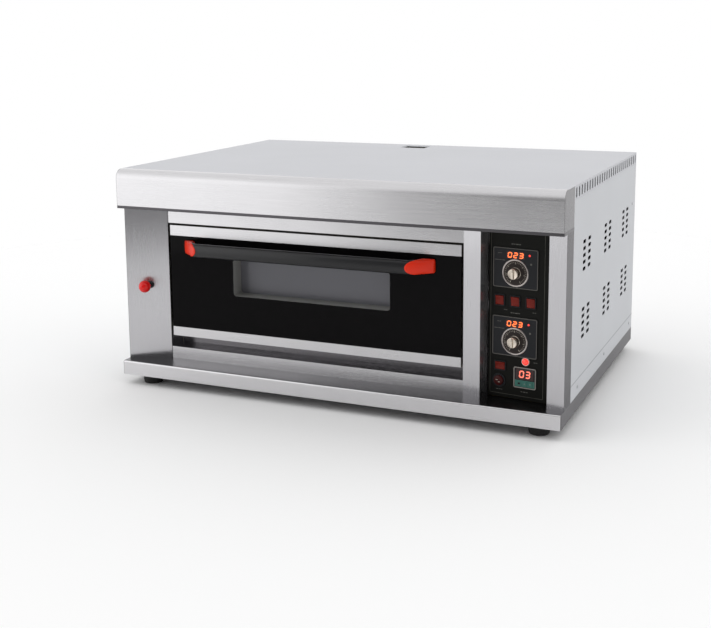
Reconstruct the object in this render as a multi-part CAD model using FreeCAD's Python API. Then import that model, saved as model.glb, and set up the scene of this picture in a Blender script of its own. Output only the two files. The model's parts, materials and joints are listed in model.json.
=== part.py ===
import FreeCAD, Part
import math
import os

from FreeCAD import Placement, Rotation, Vector

# An electric deck oven with one deck. Sizes are millimetres. Shapes are drawn from the left edge, the front
# face and the floor, and save() moves them to the row's origin at the middle of the footprint.

# ---- overall and casing
overall_w = 1220.0
overall_d = 880.0
overall_h = 595.0
sheet = 1.2
seam = 0.2
foot_h = 28.0
base_h = 38.0
hood_h = 105.0
hood_bend_r = 24.0
hood_top_d = 30.0
side_start_y = 95.0
top_flange_h = 35.0
rear_recess = 28.0
ledge_bend_r = 4.0

# ---- front pillars, posts and rails
pillar_outer_y = 32.0
pillar_inner_y = 74.0
pillar_w = 110.0
opening_w = 848.0
post_inner_y = 66.0
post_w = 45.0
right_post_w = 44.0
bay_splay = 8.0
rail_y = 76.0
sill_h = 33.0
header_h = 45.0

# ---- chamber
chamber_w = 812.0
chamber_depth = 650.0
chamber_floor_z = 164.0
chamber_h = 256.0
mouth_flange = 14.0
wool_side = 56.0
wool_top = 60.0
wool_base = 70.0
wool_rear = 56.0
deck_z = 200.0
deck_t = 4.0
element_r = 4.0
element_pairs = 3
element_bend_r = 50.0
upper_element_z = 402.0
lower_element_z = 180.0
probe_r = 3.0
lamp_r = 22.0
lamp_in = 166.0
lamp_rise = 166.0
lamp_depth = 50.0
lamp_wall = 2.0
bulb_r = 11.0
socket_l = 28.0
probe_heights = (385.0, 188.0)
probe_in = 60.0
deck_ledge = 9.0
deck_fit = 2.0
outlet_h = 45.0
outlet_side = 8.0
terminal_l = 12.0
terminal_r = 7.0

# ---- flue and steam damper
flue_aside = 16.0
flue_w = 80.0
flue_d = 56.0
flue_fit = 1.0
flue_clear = 2.0
shutter_z = 501.0
shutter_t = 2.0
rod_r = 4.0
rod_fit = 0.08
knob_ball_r = 16.5
damper_x = 60.0
damper_z = 273.0
knob_stand = 27.9
bush_r = 10.0
bush_front = 8.0
bush_back = 16.0
arm_in = 39.0
crank_bend_r = 16.0

# ---- door
door_gap_left = 6.0
door_gap_right = 9.0
door_gap_top = 6.0
door_z = 131.0
door_t = 50.0
door_glass_t = 4.0
top_strip_h = 28.0
bottom_strip_h = 25.0
window_inset = 194.0
window_w = 450.0
window_rise = 127.0
window_h = 98.0
window_r = 9.0
pane_t = 4.0
gasket_w = 10.0
gasket_gap = 0.3
seal_gap = 8.0
hinge_in = 28.0
hinge_rise = 17.0
hinge_pin_r = 5.0
hinge_fit = 0.06
bracket_t = 4.0
window_frame_fit = 0.3
bush_block_l = 26.0
bush_block_h = 26.0
bush_block_d = 22.0
handle_inset_left = 49.0
handle_inset_right = 67.0
handle_drop = 56.0
handle_h = 36.0
handle_t = 22.0
handle_proud = 54.0
handle_end_l = 58.0

# ---- control panel, measured along the slanted fascia, inwards from it, and up from the floor
plate_depth = 30.0
plate_t = 3.0
bezel_t = 2.5
case_w = 116.0
case_h = 98.0
case_depth = 58.0
case_t = 124.0
case_z = (391.5, 222.5)
dial_drop = 11.5
digit_rise = 32.0
dial_knob_r = 14.5
dial_knob_l = 17.0
dial_shaft_r = 3.0
shaft_fit = 0.06
rocker_tilt = 7.0
rocker_fit = 0.5
heat_switches = ((83.5, 310.0), (124.0, 310.0), (164.5, 310.0))
heat_switch_size = (27.0, 29.0)
light_switch = (86.5, 146.0)
light_switch_size = (31.0, 25.0)
alarm_at = (84.0, 108.5)
alarm_r = 14.5
alarm_rim = 2.5
lamp_at = (153.0, 164.0)
lens_r = 9.5
timer_at = (152.0, 123.0)
timer_w = 58.0
timer_h = 52.0
key_size = 11.0
key_pitch = 14.5
key_fit = 0.35
key_travel = 1.0
key_proud = 1.2
key_drop = 14.5
timer_window_rise = 9.0
window_sizes = {"case": (46.0, 17.0), "timer": (46.0, 27.0)}
window_t = 1.2
window_sink = 0.8
rocker_wall = 2.5
rocker_pin_r = 1.5
rocker_pin_fit = 0.06
rocker_thick = 8.0
rocker_proud = 2.5
pocket_depth = 13.0
switch_fit = 1.5
switch_depth = 22.0
cut_fit = 0.4

# ---- feet, screws and folds
bolt_r = 4.0
bolt_head_r = 7.5
bolt_head_h = 5.0
foot_r_top = 30.0
foot_r_bottom = 25.0
foot_sink = 9.0
foot_x = 63.0
foot_y = 48.0
screw_head_r = 4.5
screw_head_h = 1.5
screw_r = 2.0
screw_l = 8.0
side_screws = [(165.0, 88.0), (480.0, 88.0), (835.0, 88.0), (835.0, 448.0)]
rear_screw_inset = 24.0
panel_fold = 18.0

# ---- electrics behind the control panel
contactor_w = 46.0
contactor_d = 80.0
contactor_h = 74.0
contactor_ribs = 3
contactor_rib = (10.0, 8.0, 40.0)
contactor_rib_pitch = 13.0
contactors_y = (330.0, 400.0)
terminal_block_size = (100.0, 40.0, 36.0)
terminal_block_z = 150.0
terminal_ways = 6
terminal_pitch = 16.0
terminal_slot = (12.0, 14.0, 24.0)
wire_r = 5.0
wire_pitch = 28.0
wire_aside = 18.6
wire_low_z = 66.0
wire_high_z = 168.0
wire_turn = 40.0
wire_stagger = 22.0
wire_drop = 20.0
wire_bend_r = 20.0
gland_inset = 72.0
gland_z = 104.0
gland_thread_r = 10.0
gland_thread_l = 16.0
gland_bore_r = 6.5
gland_hex_r = 14.5
gland_hex_l = 6.0
gland_out = 20.0

# ---- punched slots
rear_vent_rows = 8
flange_slots = 27
flange_slot_pitch = 28.8
flange_slot = (11.0, 26.0)
vent_slot = (31.0, 9.5)
vent_pitch_y = 56.0
vent_pitch_z = 17.0
vent_rows = 5
vent_groups_y = (240.0, 491.0, 733.0)
vent_groups_z = (239.5, 409.5)

# ---- places that follow from the sizes above
base_z = foot_h
ledge_z = foot_h + base_h
hood_z = overall_h - hood_h
post_x = pillar_w + opening_w
right_x = overall_w - sheet
flange_z = overall_h - top_flange_h
sill_z = ledge_z + sill_h
header_z = hood_z - header_h
chamber_x0 = pillar_w + (opening_w - chamber_w) / 2
chamber_x1 = chamber_x0 + chamber_w
door_back = rail_y + door_t
mouth_y = door_back + seal_gap
chamber_y1 = mouth_y + chamber_depth
chamber_z1 = chamber_floor_z + chamber_h
door_x0 = pillar_w + door_gap_left
door_x1 = post_x - door_gap_right
door_z1 = header_z - door_gap_top
window_x = door_x0 + window_inset
window_z = door_z + window_rise
hinge_y = rail_y + hinge_in
hinge_z = door_z + hinge_rise
handle_x0 = door_x0 + handle_inset_left
handle_x1 = door_x1 - handle_inset_right
handle_z = door_z1 - handle_drop
handle_front = rail_y - handle_proud
fascia_angle = math.degrees(math.atan2(post_inner_y - pillar_outer_y, overall_w - post_x))
fascia_len = math.hypot(post_inner_y - pillar_outer_y, overall_w - post_x)
feet_at = [(x, y) for x in (foot_x, overall_w - foot_x) for y in (foot_y, overall_d - foot_y)]
flue_x = (chamber_x0 + chamber_x1) / 2 + flue_aside
flue_y0 = chamber_y1 + sheet
flue_collar_y = flue_y0 + flue_d + flue_fit + sheet
rear_y = max(overall_d - rear_recess, flue_collar_y + flue_clear)
arm_y = chamber_y1 - arm_in
damper_face_y = pillar_outer_y + (pillar_inner_y - pillar_outer_y) * damper_x / pillar_w
damper_knob_y = damper_face_y - knob_stand
probe_y = mouth_y + chamber_depth / 2
lamp_y = mouth_y + lamp_in
lamp_z = chamber_floor_z + lamp_rise
bay_x = post_x + post_w
gland_x = overall_w - gland_inset
switches = [(t, z, *heat_switch_size) for t, z in heat_switches] + [(*light_switch, *light_switch_size)]
alarm_body_r = alarm_r - 2.0
lens_body_r = lens_r - 2.5

parts_dir = "parts"


# ---------------------------------------------------------------------------- shapes
def box(x0, x1, y0, y1, z0, z1):
    """A block between two corners."""
    return Part.makeBox(x1 - x0, y1 - y0, z1 - z0, Vector(x0, y0, z0))


def rod(start, end, radius):
    """A round bar from start to end."""
    a, b = Vector(*start), Vector(*end)
    return Part.makeCylinder(radius, (b - a).Length, a, b - a)


def cone(start, end, radius_start, radius_end):
    """A tapered round bar from start to end."""
    a, b = Vector(*start), Vector(*end)
    return Part.makeCone(radius_start, radius_end, (b - a).Length, a, b - a)


def fuse(*shapes):
    """One solid from pieces that touch or overlap."""
    return shapes[0].multiFuse(list(shapes[1:])).removeSplitter()


def group(shapes):
    """Separate solids kept in one node."""
    return Part.makeCompound(list(shapes))


def cut(shape, *tools):
    """The shape with every tool taken out."""
    return shape.cut(list(tools))


def folded(path, thickness=sheet):
    """Outline of a sheet bent along path, its thickness to the left of the way the path runs."""
    normals = []
    for (x0, y0), (x1, y1) in zip(path, path[1:]):
        length = math.hypot(x1 - x0, y1 - y0)
        normals.append((-(y1 - y0) / length, (x1 - x0) / length))
    inner = []
    for i, (x, y) in enumerate(path):
        ax, ay = normals[max(i - 1, 0)]
        bx, by = normals[min(i, len(normals) - 1)]
        scale = thickness / (1 + ax * bx + ay * by)
        inner.append((x + (ax + bx) * scale, y + (ay + by) * scale))
    return list(path) + inner[::-1]


def plan_prism(outline, z0, z1):
    """An outline in plan (x, y) raised from z0 to z1."""
    points = [Vector(x, y, z0) for x, y in outline]
    return Part.Face(Part.makePolygon(points + points[:1])).extrude(Vector(0, 0, z1 - z0))


def side_prism(outline, x0, x1):
    """An outline seen from the side (y, z) carried from x0 to x1."""
    points = [Vector(x0, y, z) for y, z in outline]
    return Part.Face(Part.makePolygon(points + points[:1])).extrude(Vector(x1 - x0, 0, 0))


def edges_along(shape, direction, keep=lambda point: True):
    """Straight edges that run along direction and whose middle passes keep."""
    axis = Vector(*direction)
    found = []
    for edge in shape.Edges:
        if edge.Curve.TypeId != "Part::GeomLine":
            continue
        run = edge.Vertexes[-1].Point - edge.Vertexes[0].Point
        if run.cross(axis).Length < 1e-6 * run.Length and keep(edge.CenterOfMass):
            found.append(edge)
    return found


def rounded(x0, x1, y0, y1, z0, z1, radius, along):
    """A block with the four edges along one axis rounded."""
    block = box(x0, x1, y0, y1, z0, z1)
    return block.makeFillet(radius, edges_along(block, along))


def slot_x(y, z, length, height, x0, x1):
    """A punch along X with round ends, long in Y if length is the larger size, else in Z."""
    r = min(length, height) / 2
    along = (0, length / 2 - r) if length > height else (1, height / 2 - r)
    dy, dz = (along[1], 0) if along[0] == 0 else (0, along[1])
    ends = [rod((x0, y + s * dy, z + s * dz), (x1, y + s * dy, z + s * dz), r) for s in (-1, 1)]
    return fuse(box(x0, x1, y - max(dy, r), y + max(dy, r), z - max(dz, r), z + max(dz, r)), *ends)


def bent_tube(points, radius, bend):
    """A round tube of straight runs joined by tangent arcs of one radius."""
    route = [Vector(*p) for p in points]
    edges, start = [], route[0]
    for before, corner, after in zip(route, route[1:], route[2:]):
        u = (before - corner).normalize()
        v = (after - corner).normalize()
        half = math.acos(max(-1.0, min(1.0, u.dot(v)))) / 2
        reach = bend / math.tan(half)
        middle_dir = (u + v).normalize()
        middle = corner + middle_dir * (bend / math.sin(half) - bend)
        edges.append(Part.LineSegment(start, corner + u * reach).toShape())
        edges.append(Part.Arc(corner + u * reach, middle, corner + v * reach).toShape())
        start = corner + v * reach
    edges.append(Part.LineSegment(start, route[-1]).toShape())
    circle = Part.Wire(Part.makeCircle(radius, route[0], route[1] - route[0]))
    return Part.Wire(edges).makePipeShell([circle], True, False)


def on_fascia(shape):
    """Moves a shape drawn as (along, inwards, up) onto the slanted control fascia."""
    placed = shape.copy()
    turn = Rotation(Vector(0, 0, 1), -fascia_angle)
    placed.Placement = Placement(Vector(post_x, post_inner_y, 0), turn).multiply(placed.Placement)
    return placed


def fascia_point(along, inwards):
    """Plan point (x, y) at a distance along the fascia and inwards from it."""
    a = math.radians(fascia_angle)
    x = post_x + along * math.cos(a) + inwards * math.sin(a)
    return (x, post_inner_y - along * math.sin(a) + inwards * math.cos(a))


def to_row(x, y, z):
    """A place in the row's frame, in metres."""
    return tuple(round(v / 1000, 6) for v in (x - overall_w / 2, y - overall_d / 2, z))


def save(node, shape):
    """Writes one node in the row's frame."""
    placed = shape.copy()
    placed.translate(Vector(-overall_w / 2, -overall_d / 2, 0))
    placed.exportStep(os.path.join(parts_dir, node + ".step"))


# ---------------------------------------------------------------------------- base and casing
def base_pan():
    """Shallow tray under the whole oven, open at the top, with holes for the foot bolts."""
    tray = box(0, overall_w, ledge_bend_r, overall_d, base_z, ledge_z - seam)
    hollow = box(sheet, overall_w - sheet, 0, overall_d - sheet, base_z + sheet, ledge_z)
    under_ledge = box(0, overall_w, 0, mouth_y + sheet + seam, ledge_z - sheet - seam, ledge_z)
    holes = [rod((x, y, base_z), (x, y, ledge_z), bolt_r + cut_fit) for x, y in feet_at]
    save("base_pan", cut(tray, hollow, under_ledge, *holes))


def front_ledge():
    """Front band and polished ledge in one folded sheet."""
    block = box(0, overall_w, 0, mouth_y, base_z, ledge_z)
    bends = edges_along(block, (1, 0, 0), lambda p: p.y < 1 and p.z > ledge_z - 1)
    outer = block.makeFillet(ledge_bend_r, bends)
    core = box(-1, overall_w + 1, sheet, mouth_y + 1, base_z - 1, ledge_z - sheet)
    inner_r = ledge_bend_r - sheet
    inner = core.makeFillet(inner_r, edges_along(core, (1, 0, 0), lambda p: p.y < 2 and p.z > ledge_z - 2))
    save("front_ledge", cut(outer, inner))


def feet():
    """Four tapered rubber feet, each with a sunk seat for its bolt head."""
    pads = []
    for x, y in feet_at:
        pad = cone((x, y, 0), (x, y, foot_h), foot_r_bottom, foot_r_top)
        seat = rod((x, y, -1), (x, y, foot_sink), bolt_head_r + 1)
        shank = rod((x, y, 0), (x, y, foot_h + 1), bolt_r + cut_fit / 2)
        pads.append(cut(pad, seat, shank))
    save("feet", group(pads))


def rear_screws_at():
    """Where the rear panel is screwed on (x, z)."""
    columns = (rear_screw_inset, overall_w / 2, overall_w - rear_screw_inset)
    return [(x, z) for x in columns for z in (ledge_z + rear_screw_inset, overall_h - top_flange_h)]


def fasteners():
    """Foot bolts with their nuts, side panel screws and rear panel screws."""
    pieces = []
    for x, y in feet_at:
        top = base_z + sheet
        head = rod((x, y, foot_sink - bolt_head_h), (x, y, foot_sink), bolt_head_r)
        shank = rod((x, y, foot_sink), (x, y, top + 10), bolt_r)
        pieces.append(fuse(head, shank, rod((x, y, top), (x, y, top + 7), bolt_head_r)))
    for side_x, way in ((0.0, 1), (overall_w, -1)):
        for y, z in side_screws:
            head = cone((side_x, y, z), (side_x - way * screw_head_h, y, z), screw_head_r, screw_head_r - 1)
            pieces.append(fuse(head, rod((side_x, y, z), (side_x + way * screw_l, y, z), screw_r)))
    for x, z in rear_screws_at():
        face = rear_y + sheet
        head = cone((x, face, z), (x, face + screw_head_h, z), screw_head_r, screw_head_r - 1)
        pieces.append(fuse(head, rod((x, face, z), (x, face - screw_l, z), screw_r)))
    save("fasteners", group(pieces))


def hood_fascia():
    """Deep front fascia with a large bend to the top, a closed underside and end returns."""
    length = side_start_y - seam
    block = box(0, overall_w, 0, length, hood_z, overall_h)
    bends = edges_along(block, (1, 0, 0), lambda p: p.y < 1 and p.z > overall_h - 1)
    outer = block.makeFillet(hood_bend_r, bends)
    core = box(sheet, overall_w - sheet, sheet, length + 1, hood_z + sheet, overall_h - sheet)
    inner_r = hood_bend_r - sheet
    inner = core.makeFillet(inner_r, edges_along(core, (1, 0, 0), lambda p: p.y < 2 and p.z > overall_h - 2))
    under_top = box(-1, overall_w + 1, hood_top_d, length + 1, overall_h - sheet - seam, overall_h + 1)
    behind_rail = box(sheet, overall_w - sheet, rail_y + sheet, length + 1, hood_z - 1, hood_z + 2)
    save("hood_fascia", cut(outer, inner, under_top, behind_rail))


def top_sheet():
    """Top cover with down-turned sides and back, slotted flanges and a collared flue opening."""
    shell = box(0, overall_w, hood_top_d + seam, overall_d, flange_z, overall_h)
    hollow = box(sheet, overall_w - sheet, 0, overall_d - sheet, flange_z - 1, overall_h - sheet)
    front_corner = box(-1, overall_w + 1, 0, side_start_y, flange_z - 1, overall_h - sheet)
    x0, x1 = flue_x - flue_w / 2, flue_x + flue_w / 2
    y0, y1 = flue_y0 - flue_fit, flue_y0 + flue_d + flue_fit
    collar = box(x0 - sheet, x1 + sheet, y0 - sheet, y1 + sheet, overall_h - 12, overall_h - sheet)
    hole = box(x0, x1, y0, y1, overall_h - 20, overall_h + 1)
    first = overall_d - 12 - (flange_slots - 1) * flange_slot_pitch - flange_slot[0] / 2
    slot_z = flange_z + top_flange_h / 2 - 0.5
    slots_y = [first + i * flange_slot_pitch for i in range(flange_slots)]
    punches = [slot_x(y, slot_z, *flange_slot, -1, overall_w + 1) for y in slots_y]
    open_shell = cut(shell, hollow, front_corner, group(punches))
    save("top_sheet", cut(fuse(open_shell, collar), hole))


def side_panel(node, x0, x1, fold_x0, fold_x1):
    """Painted side panel with six groups of punched vents and a fold behind the front posts."""
    panel = box(x0, x1, side_start_y, overall_d, ledge_z, flange_z - seam)
    fold = box(fold_x0, fold_x1, side_start_y, side_start_y + sheet, ledge_z, flange_z - seam)
    punches = []
    for group_y in vent_groups_y:
        for group_z in vent_groups_z:
            for column in (-0.5, 0.5):
                for row in range(vent_rows):
                    y = group_y + column * vent_pitch_y
                    z = group_z + (row - (vent_rows - 1) / 2) * vent_pitch_z
                    punches.append(slot_x(y, z, *vent_slot, x0 - 1, x1 + 1))
    holes = [rod((x0 - 1, y, z), (x1 + 1, y, z), screw_r + cut_fit / 2) for y, z in side_screws]
    save(node, cut(fuse(panel, fold), group(punches), *holes))


def side_panels():
    """Both side panels."""
    side_panel("side_panel_left", 0, sheet, 0, panel_fold)
    side_panel("side_panel_right", right_x, overall_w, overall_w - panel_fold, overall_w)


def rear_panel():
    """Recessed back cover with the cable entry and a column of vents behind the control bay."""
    x0, x1 = sheet + seam, right_x - seam
    panel = box(x0, x1, rear_y, rear_y + sheet, base_z + sheet, overall_h - sheet)
    entry = rod((gland_x, rear_y - 1, gland_z), (gland_x, rear_y + 3, gland_z), gland_thread_r + cut_fit / 2)
    holes = [rod((x, rear_y - 1, z), (x, rear_y + 3, z), screw_r + cut_fit / 2) for x, z in rear_screws_at()]
    vents = []
    for row in range(rear_vent_rows):
        z = sum(vent_groups_z) / 2 + (row - (rear_vent_rows - 1) / 2) * 2 * vent_pitch_z
        mid = (bay_x + right_x) / 2
        vents.append(box(mid - 50, mid + 50, rear_y - 1, rear_y + 3, z - 4, z + 4))
    save("rear_panel", cut(panel, entry, group(vents), *holes))


def left_pillar():
    """Slanted pillar left of the door, folded back along the outside and along the door opening."""
    path = [(0, side_start_y - seam), (0, pillar_outer_y), (pillar_w, pillar_inner_y)]
    path.append((pillar_w, mouth_y - seam))
    shell = plan_prism(folded(path), ledge_z, hood_z)
    hole = rod((damper_x, 0, damper_z), (damper_x, mouth_y, damper_z), bush_r + cut_fit / 2)
    save("left_pillar", cut(shell, hole))


def centre_post():
    """Post between the door opening and the control bay, with the bay's splayed left wall."""
    back = plate_depth + plate_t + 1
    path = [(post_x, mouth_y - seam), (post_x, post_inner_y), fascia_point(post_w, 0)]
    path.append(fascia_point(post_w + bay_splay, back))
    save("centre_post", plan_prism(folded(path), ledge_z, hood_z))


def right_post():
    """Post right of the control bay, with the bay's right wall and the outside return."""
    back = plate_depth + plate_t + 1
    inner = fascia_len - right_post_w
    path = [fascia_point(inner, back), fascia_point(inner, 0), (overall_w, pillar_outer_y)]
    path.append((overall_w, side_start_y - seam))
    save("right_post", plan_prism(folded(path), ledge_z, hood_z))


def header_rail():
    """Rail above the door, folded back over the top of the opening."""
    path = [(rail_y, hood_z), (rail_y, header_z), (mouth_y - seam, header_z)]
    save("header_rail", side_prism(folded(path), pillar_w + seam, post_x - seam))


def sill_rail():
    """Rail under the door: front, sill shelf and an upstand to the chamber mouth."""
    top = chamber_floor_z - mouth_flange - seam
    path = [(mouth_y, top), (mouth_y, sill_z), (rail_y, sill_z), (rail_y, ledge_z)]
    save("sill_rail", side_prism(folded(path), pillar_w + seam, post_x - seam))


# ---------------------------------------------------------------------------- baking chamber
def element_rows():
    """Depths (y) of the straight legs of each heating element pair."""
    pitch = 2 * element_bend_r
    span = element_pairs * 2 - 1
    first = mouth_y + chamber_depth / 2 - span * pitch / 2
    return [(first + 2 * i * pitch, first + (2 * i + 1) * pitch) for i in range(element_pairs)]


def wall_pass(radius, x1):
    """Round passages through the right wall and its wool for the elements and probes."""
    tools = []
    for pair in element_rows():
        for y in pair:
            for z in (upper_element_z, lower_element_z):
                tools.append(rod((chamber_x1 - 1, y, z), (x1, y, z), element_r + radius))
    for z in probe_heights:
        tools.append(rod((chamber_x1 - 1, probe_y, z), (x1, probe_y, z), probe_r + radius))
    return tools


def deck_ledge_strip(x0, x1):
    """Narrow shelf that carries one edge of the deck plate."""
    return box(x0, x1, mouth_y + 8, chamber_y1 - 4, deck_z - deck_t - 3, deck_z - deck_t)


def chamber_left_wall():
    """Left liner sheet with its mouth flange and deck ledge."""
    path = [(chamber_x0 - mouth_flange, mouth_y), (chamber_x0, mouth_y), (chamber_x0, chamber_y1)]
    wall = plan_prism(folded(path), chamber_floor_z, chamber_z1)
    save("chamber_left_wall", fuse(wall, deck_ledge_strip(chamber_x0 - sheet / 2, chamber_x0 + deck_ledge)))


def chamber_right_wall():
    """Right liner sheet with passages for elements, probes and the lamp."""
    path = [(chamber_x1, chamber_y1), (chamber_x1, mouth_y), (chamber_x1 + mouth_flange, mouth_y)]
    wall = plan_prism(folded(path), chamber_floor_z, chamber_z1)
    wall = fuse(wall, deck_ledge_strip(chamber_x1 - deck_ledge, chamber_x1 + sheet / 2))
    lamp_hole = rod((chamber_x1 - 1, lamp_y, lamp_z), (chamber_x1 + 3, lamp_y, lamp_z), lamp_r + cut_fit)
    save("chamber_right_wall", cut(wall, lamp_hole, *wall_pass(cut_fit, chamber_x1 + 3)))


def chamber_roof():
    """Roof liner sheet, wider than the chamber, with its mouth flange."""
    lip = header_z - 2
    path = [(mouth_y, lip), (mouth_y, chamber_z1), (chamber_y1, chamber_z1)]
    x0, x1 = chamber_x0 - mouth_flange, chamber_x1 + mouth_flange
    save("chamber_roof", side_prism(folded(path), x0, x1))


def chamber_floor():
    """Floor liner sheet under the lower elements, with its mouth flange."""
    lip = chamber_floor_z - mouth_flange
    path = [(chamber_y1, chamber_floor_z), (mouth_y, chamber_floor_z), (mouth_y, lip)]
    x0, x1 = chamber_x0 - mouth_flange, chamber_x1 + mouth_flange
    save("chamber_floor", side_prism(folded(path), x0, x1))


def chamber_rear_wall():
    """Back liner sheet with the outlet into the flue duct."""
    x0, x1 = chamber_x0 - mouth_flange, chamber_x1 + mouth_flange
    wall = box(x0, x1, chamber_y1, chamber_y1 + sheet, chamber_floor_z, chamber_z1)
    save("chamber_rear_wall", cut(wall, outlet_box()))


def outlet_box():
    """The opening from the chamber into the flue duct."""
    half = flue_w / 2 - outlet_side
    z1 = chamber_z1 - 8
    return box(flue_x - half, flue_x + half, chamber_y1 - 1, flue_y0 + sheet + 1, z1 - outlet_h, z1)


def deck_plate():
    """Steel plate that the trays stand on, loose on its ledges."""
    x0, x1 = chamber_x0 + deck_fit, chamber_x1 - deck_fit
    plate = rounded(x0, x1, mouth_y + 8, chamber_y1 - 4, deck_z - deck_t, deck_z, 3, (0, 0, 1))
    save("deck_plate", plate)


def chamber_insulation():
    """Mineral wool round the chamber in five blocks."""
    x0, x1 = chamber_x0 - sheet - 0.5, chamber_x1 + sheet + 0.5
    y0, y1 = mouth_y + sheet + 2, chamber_y1 + sheet + 0.5
    z0, z1 = chamber_floor_z - sheet - 0.5, chamber_z1 + sheet + 0.5
    left = box(x0 - wool_side, x0, y0, y1 - 2, z0 + 2, z1 - 2)
    right = box(x1, x1 + wool_side, y0, y1 - 2, z0 + 2, z1 - 2)
    lamp_space = rod((x1 - 1, lamp_y, lamp_z), (x1 + wool_side + 1, lamp_y, lamp_z), lamp_r + 2)
    right = cut(right, lamp_space, *wall_pass(cut_fit + 0.2, x1 + wool_side + 1))
    roof = box(x0 - wool_side, x1 + wool_side, y0, y1 + wool_rear, z1, z1 + wool_top)
    floor = box(x0 - wool_side, x1 + wool_side, y0, y1 + wool_rear, z0 - wool_base, z0)
    rear = box(x0 - wool_side, x1 + wool_side, y1, y1 + wool_rear, z0 + 0.5, z1 - 0.5)
    half = flue_w / 2 + 1
    duct_space = box(flue_x - half, flue_x + half, flue_y0 - 1, rear_y, duct_z0 - 1, overall_h)
    save("chamber_insulation", group([left, right, cut(roof, duct_space), floor, cut(rear, duct_space)]))


def elements(node, z):
    """Hairpin heating elements, fed through the right wall, with ceramic ends and studs."""
    end_x = chamber_x1 + wool_side + 3
    bend_x = chamber_x0 + 24 + element_bend_r
    pieces = []
    for y0, y1 in element_rows():
        legs = [rod((bend_x, y, z), (end_x, y, z), element_r) for y in (y0, y1)]
        caps = [rod((end_x, y, z), (end_x + terminal_l, y, z), terminal_r) for y in (y0, y1)]
        studs = [rod((end_x, y, z), (end_x + 2 * terminal_l, y, z), element_r / 2) for y in (y0, y1)]
        centre = Vector(bend_x, (y0 + y1) / 2, z)
        bend = Part.makeTorus(element_bend_r, element_r, centre, Vector(0, 0, 1), -180, 180, 180)
        bend.rotate(centre, Vector(0, 0, 1), 90)
        pieces.append(fuse(bend, *legs, *caps, *studs))
    save(node, group(pieces))


def temperature_probes():
    """Upper and lower probe tubes through the right wall with their heads in the bay."""
    end_x = chamber_x1 + wool_side + 3
    probes = []
    for z in probe_heights:
        stem = rod((chamber_x1 - probe_in, probe_y, z), (end_x, probe_y, z), probe_r)
        probes.append(fuse(stem, rod((end_x, probe_y, z), (end_x + 15, probe_y, z), probe_r + 4)))
    save("temperature_probes", group(probes))


def lamp():
    """Ceramic holder in the right wall and the glass with its bulb that shows in the chamber."""
    inner = chamber_x1 + sheet
    holder = rod((inner + 1, lamp_y, lamp_z), (inner + lamp_depth, lamp_y, lamp_z), lamp_r)
    socket = rod((inner, lamp_y, lamp_z), (inner + socket_l, lamp_y, lamp_z), lamp_r - 5)
    save("lamp_holder", cut(holder, socket))
    base = Vector(inner, lamp_y, lamp_z)
    dome = Part.makeSphere(lamp_r, base, Vector(-1, 0, 0), 0, 90, 360)
    cavity = Part.makeSphere(lamp_r - lamp_wall, base, Vector(-1, 0, 0), 0, 90, 360)
    neck_r, back = bulb_r - 4, inner + socket_l - 1
    meet = math.sqrt(bulb_r ** 2 - neck_r ** 2)
    tip, shoulder = Vector(inner - bulb_r, lamp_y, lamp_z), Vector(inner + meet, lamp_y, lamp_z + neck_r)
    bulge = Vector(inner, lamp_y, lamp_z + bulb_r)
    corners = [shoulder, Vector(back, lamp_y, lamp_z + neck_r), Vector(back, lamp_y, lamp_z), tip]
    outline = Part.Wire([Part.Arc(tip, bulge, shoulder).toShape()] + Part.makePolygon(corners).Edges)
    bulb = Part.Face(outline).revolve(base, Vector(1, 0, 0), 360)
    save("lamp_glass", group([cut(dome, cavity), bulb]))


duct_z0 = chamber_z1 - 8 - outlet_h - 8


def flue_duct():
    """Square duct from the back of the chamber up to the opening in the top."""
    x0, x1 = flue_x - flue_w / 2 + flue_fit, flue_x + flue_w / 2 - flue_fit
    y0, y1 = flue_y0, flue_y0 + flue_d
    outer = box(x0, x1, y0, y1, duct_z0, overall_h - 3)
    inner = box(x0 + sheet, x1 - sheet, y0 + sheet, y1 - sheet, duct_z0 + sheet, overall_h)
    gap = shutter_t + 3
    slit = box(x0 + sheet, x1 - sheet, y0 - 1, y0 + 3, shutter_z - gap, shutter_z + gap)
    save("flue_duct", cut(outer, inner, outlet_box(), slit))


# ---------------------------------------------------------------------------- steam damper
def damper():
    """Pull knob, guide bush, and the cranked rod that carries the flue shutter."""
    front, back = damper_face_y - bush_front, damper_face_y + bush_back
    bush = rod((damper_x, front, damper_z), (damper_x, back, damper_z), bush_r)
    bore = rod((damper_x, front - 1, damper_z), (damper_x, back + 1, damper_z), rod_r + rod_fit)
    save("damper_bush", cut(bush, bore))
    socket_y = damper_knob_y + 6
    shutter_x0 = flue_x - flue_w / 2 + flue_fit + sheet + 1
    shutter_x1 = flue_x + flue_w / 2 - flue_fit - sheet - 1
    corners = [(damper_x, socket_y, damper_z), (damper_x, arm_y, damper_z), (damper_x, arm_y, shutter_z)]
    crank = bent_tube(corners + [(flue_x, arm_y, shutter_z)], rod_r, crank_bend_r)
    back_y = flue_y0 + flue_d - sheet - 1
    shutter = box(shutter_x0, shutter_x1, arm_y, back_y, shutter_z - shutter_t / 2, shutter_z + shutter_t / 2)
    save("damper_rod", fuse(crank, shutter))
    ball = Part.makeSphere(knob_ball_r, Vector(damper_x, damper_knob_y, damper_z))
    neck = cone((damper_x, damper_knob_y + 12, damper_z), (damper_x, damper_knob_y + 18, damper_z), 9, 6.5)
    hole = rod((damper_x, socket_y, damper_z), (damper_x, damper_knob_y + 20, damper_z), rod_r)
    save("damper_knob", cut(fuse(ball, neck), hole))


# ---------------------------------------------------------------------------- door
def window_block(y0, y1, grow, radius):
    """A block through the window, larger all round by grow."""
    x0, x1 = window_x - grow, window_x + window_w + grow
    return rounded(x0, x1, y0, y1, window_z - grow, window_z + window_h + grow, radius, (0, 1, 0))


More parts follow.
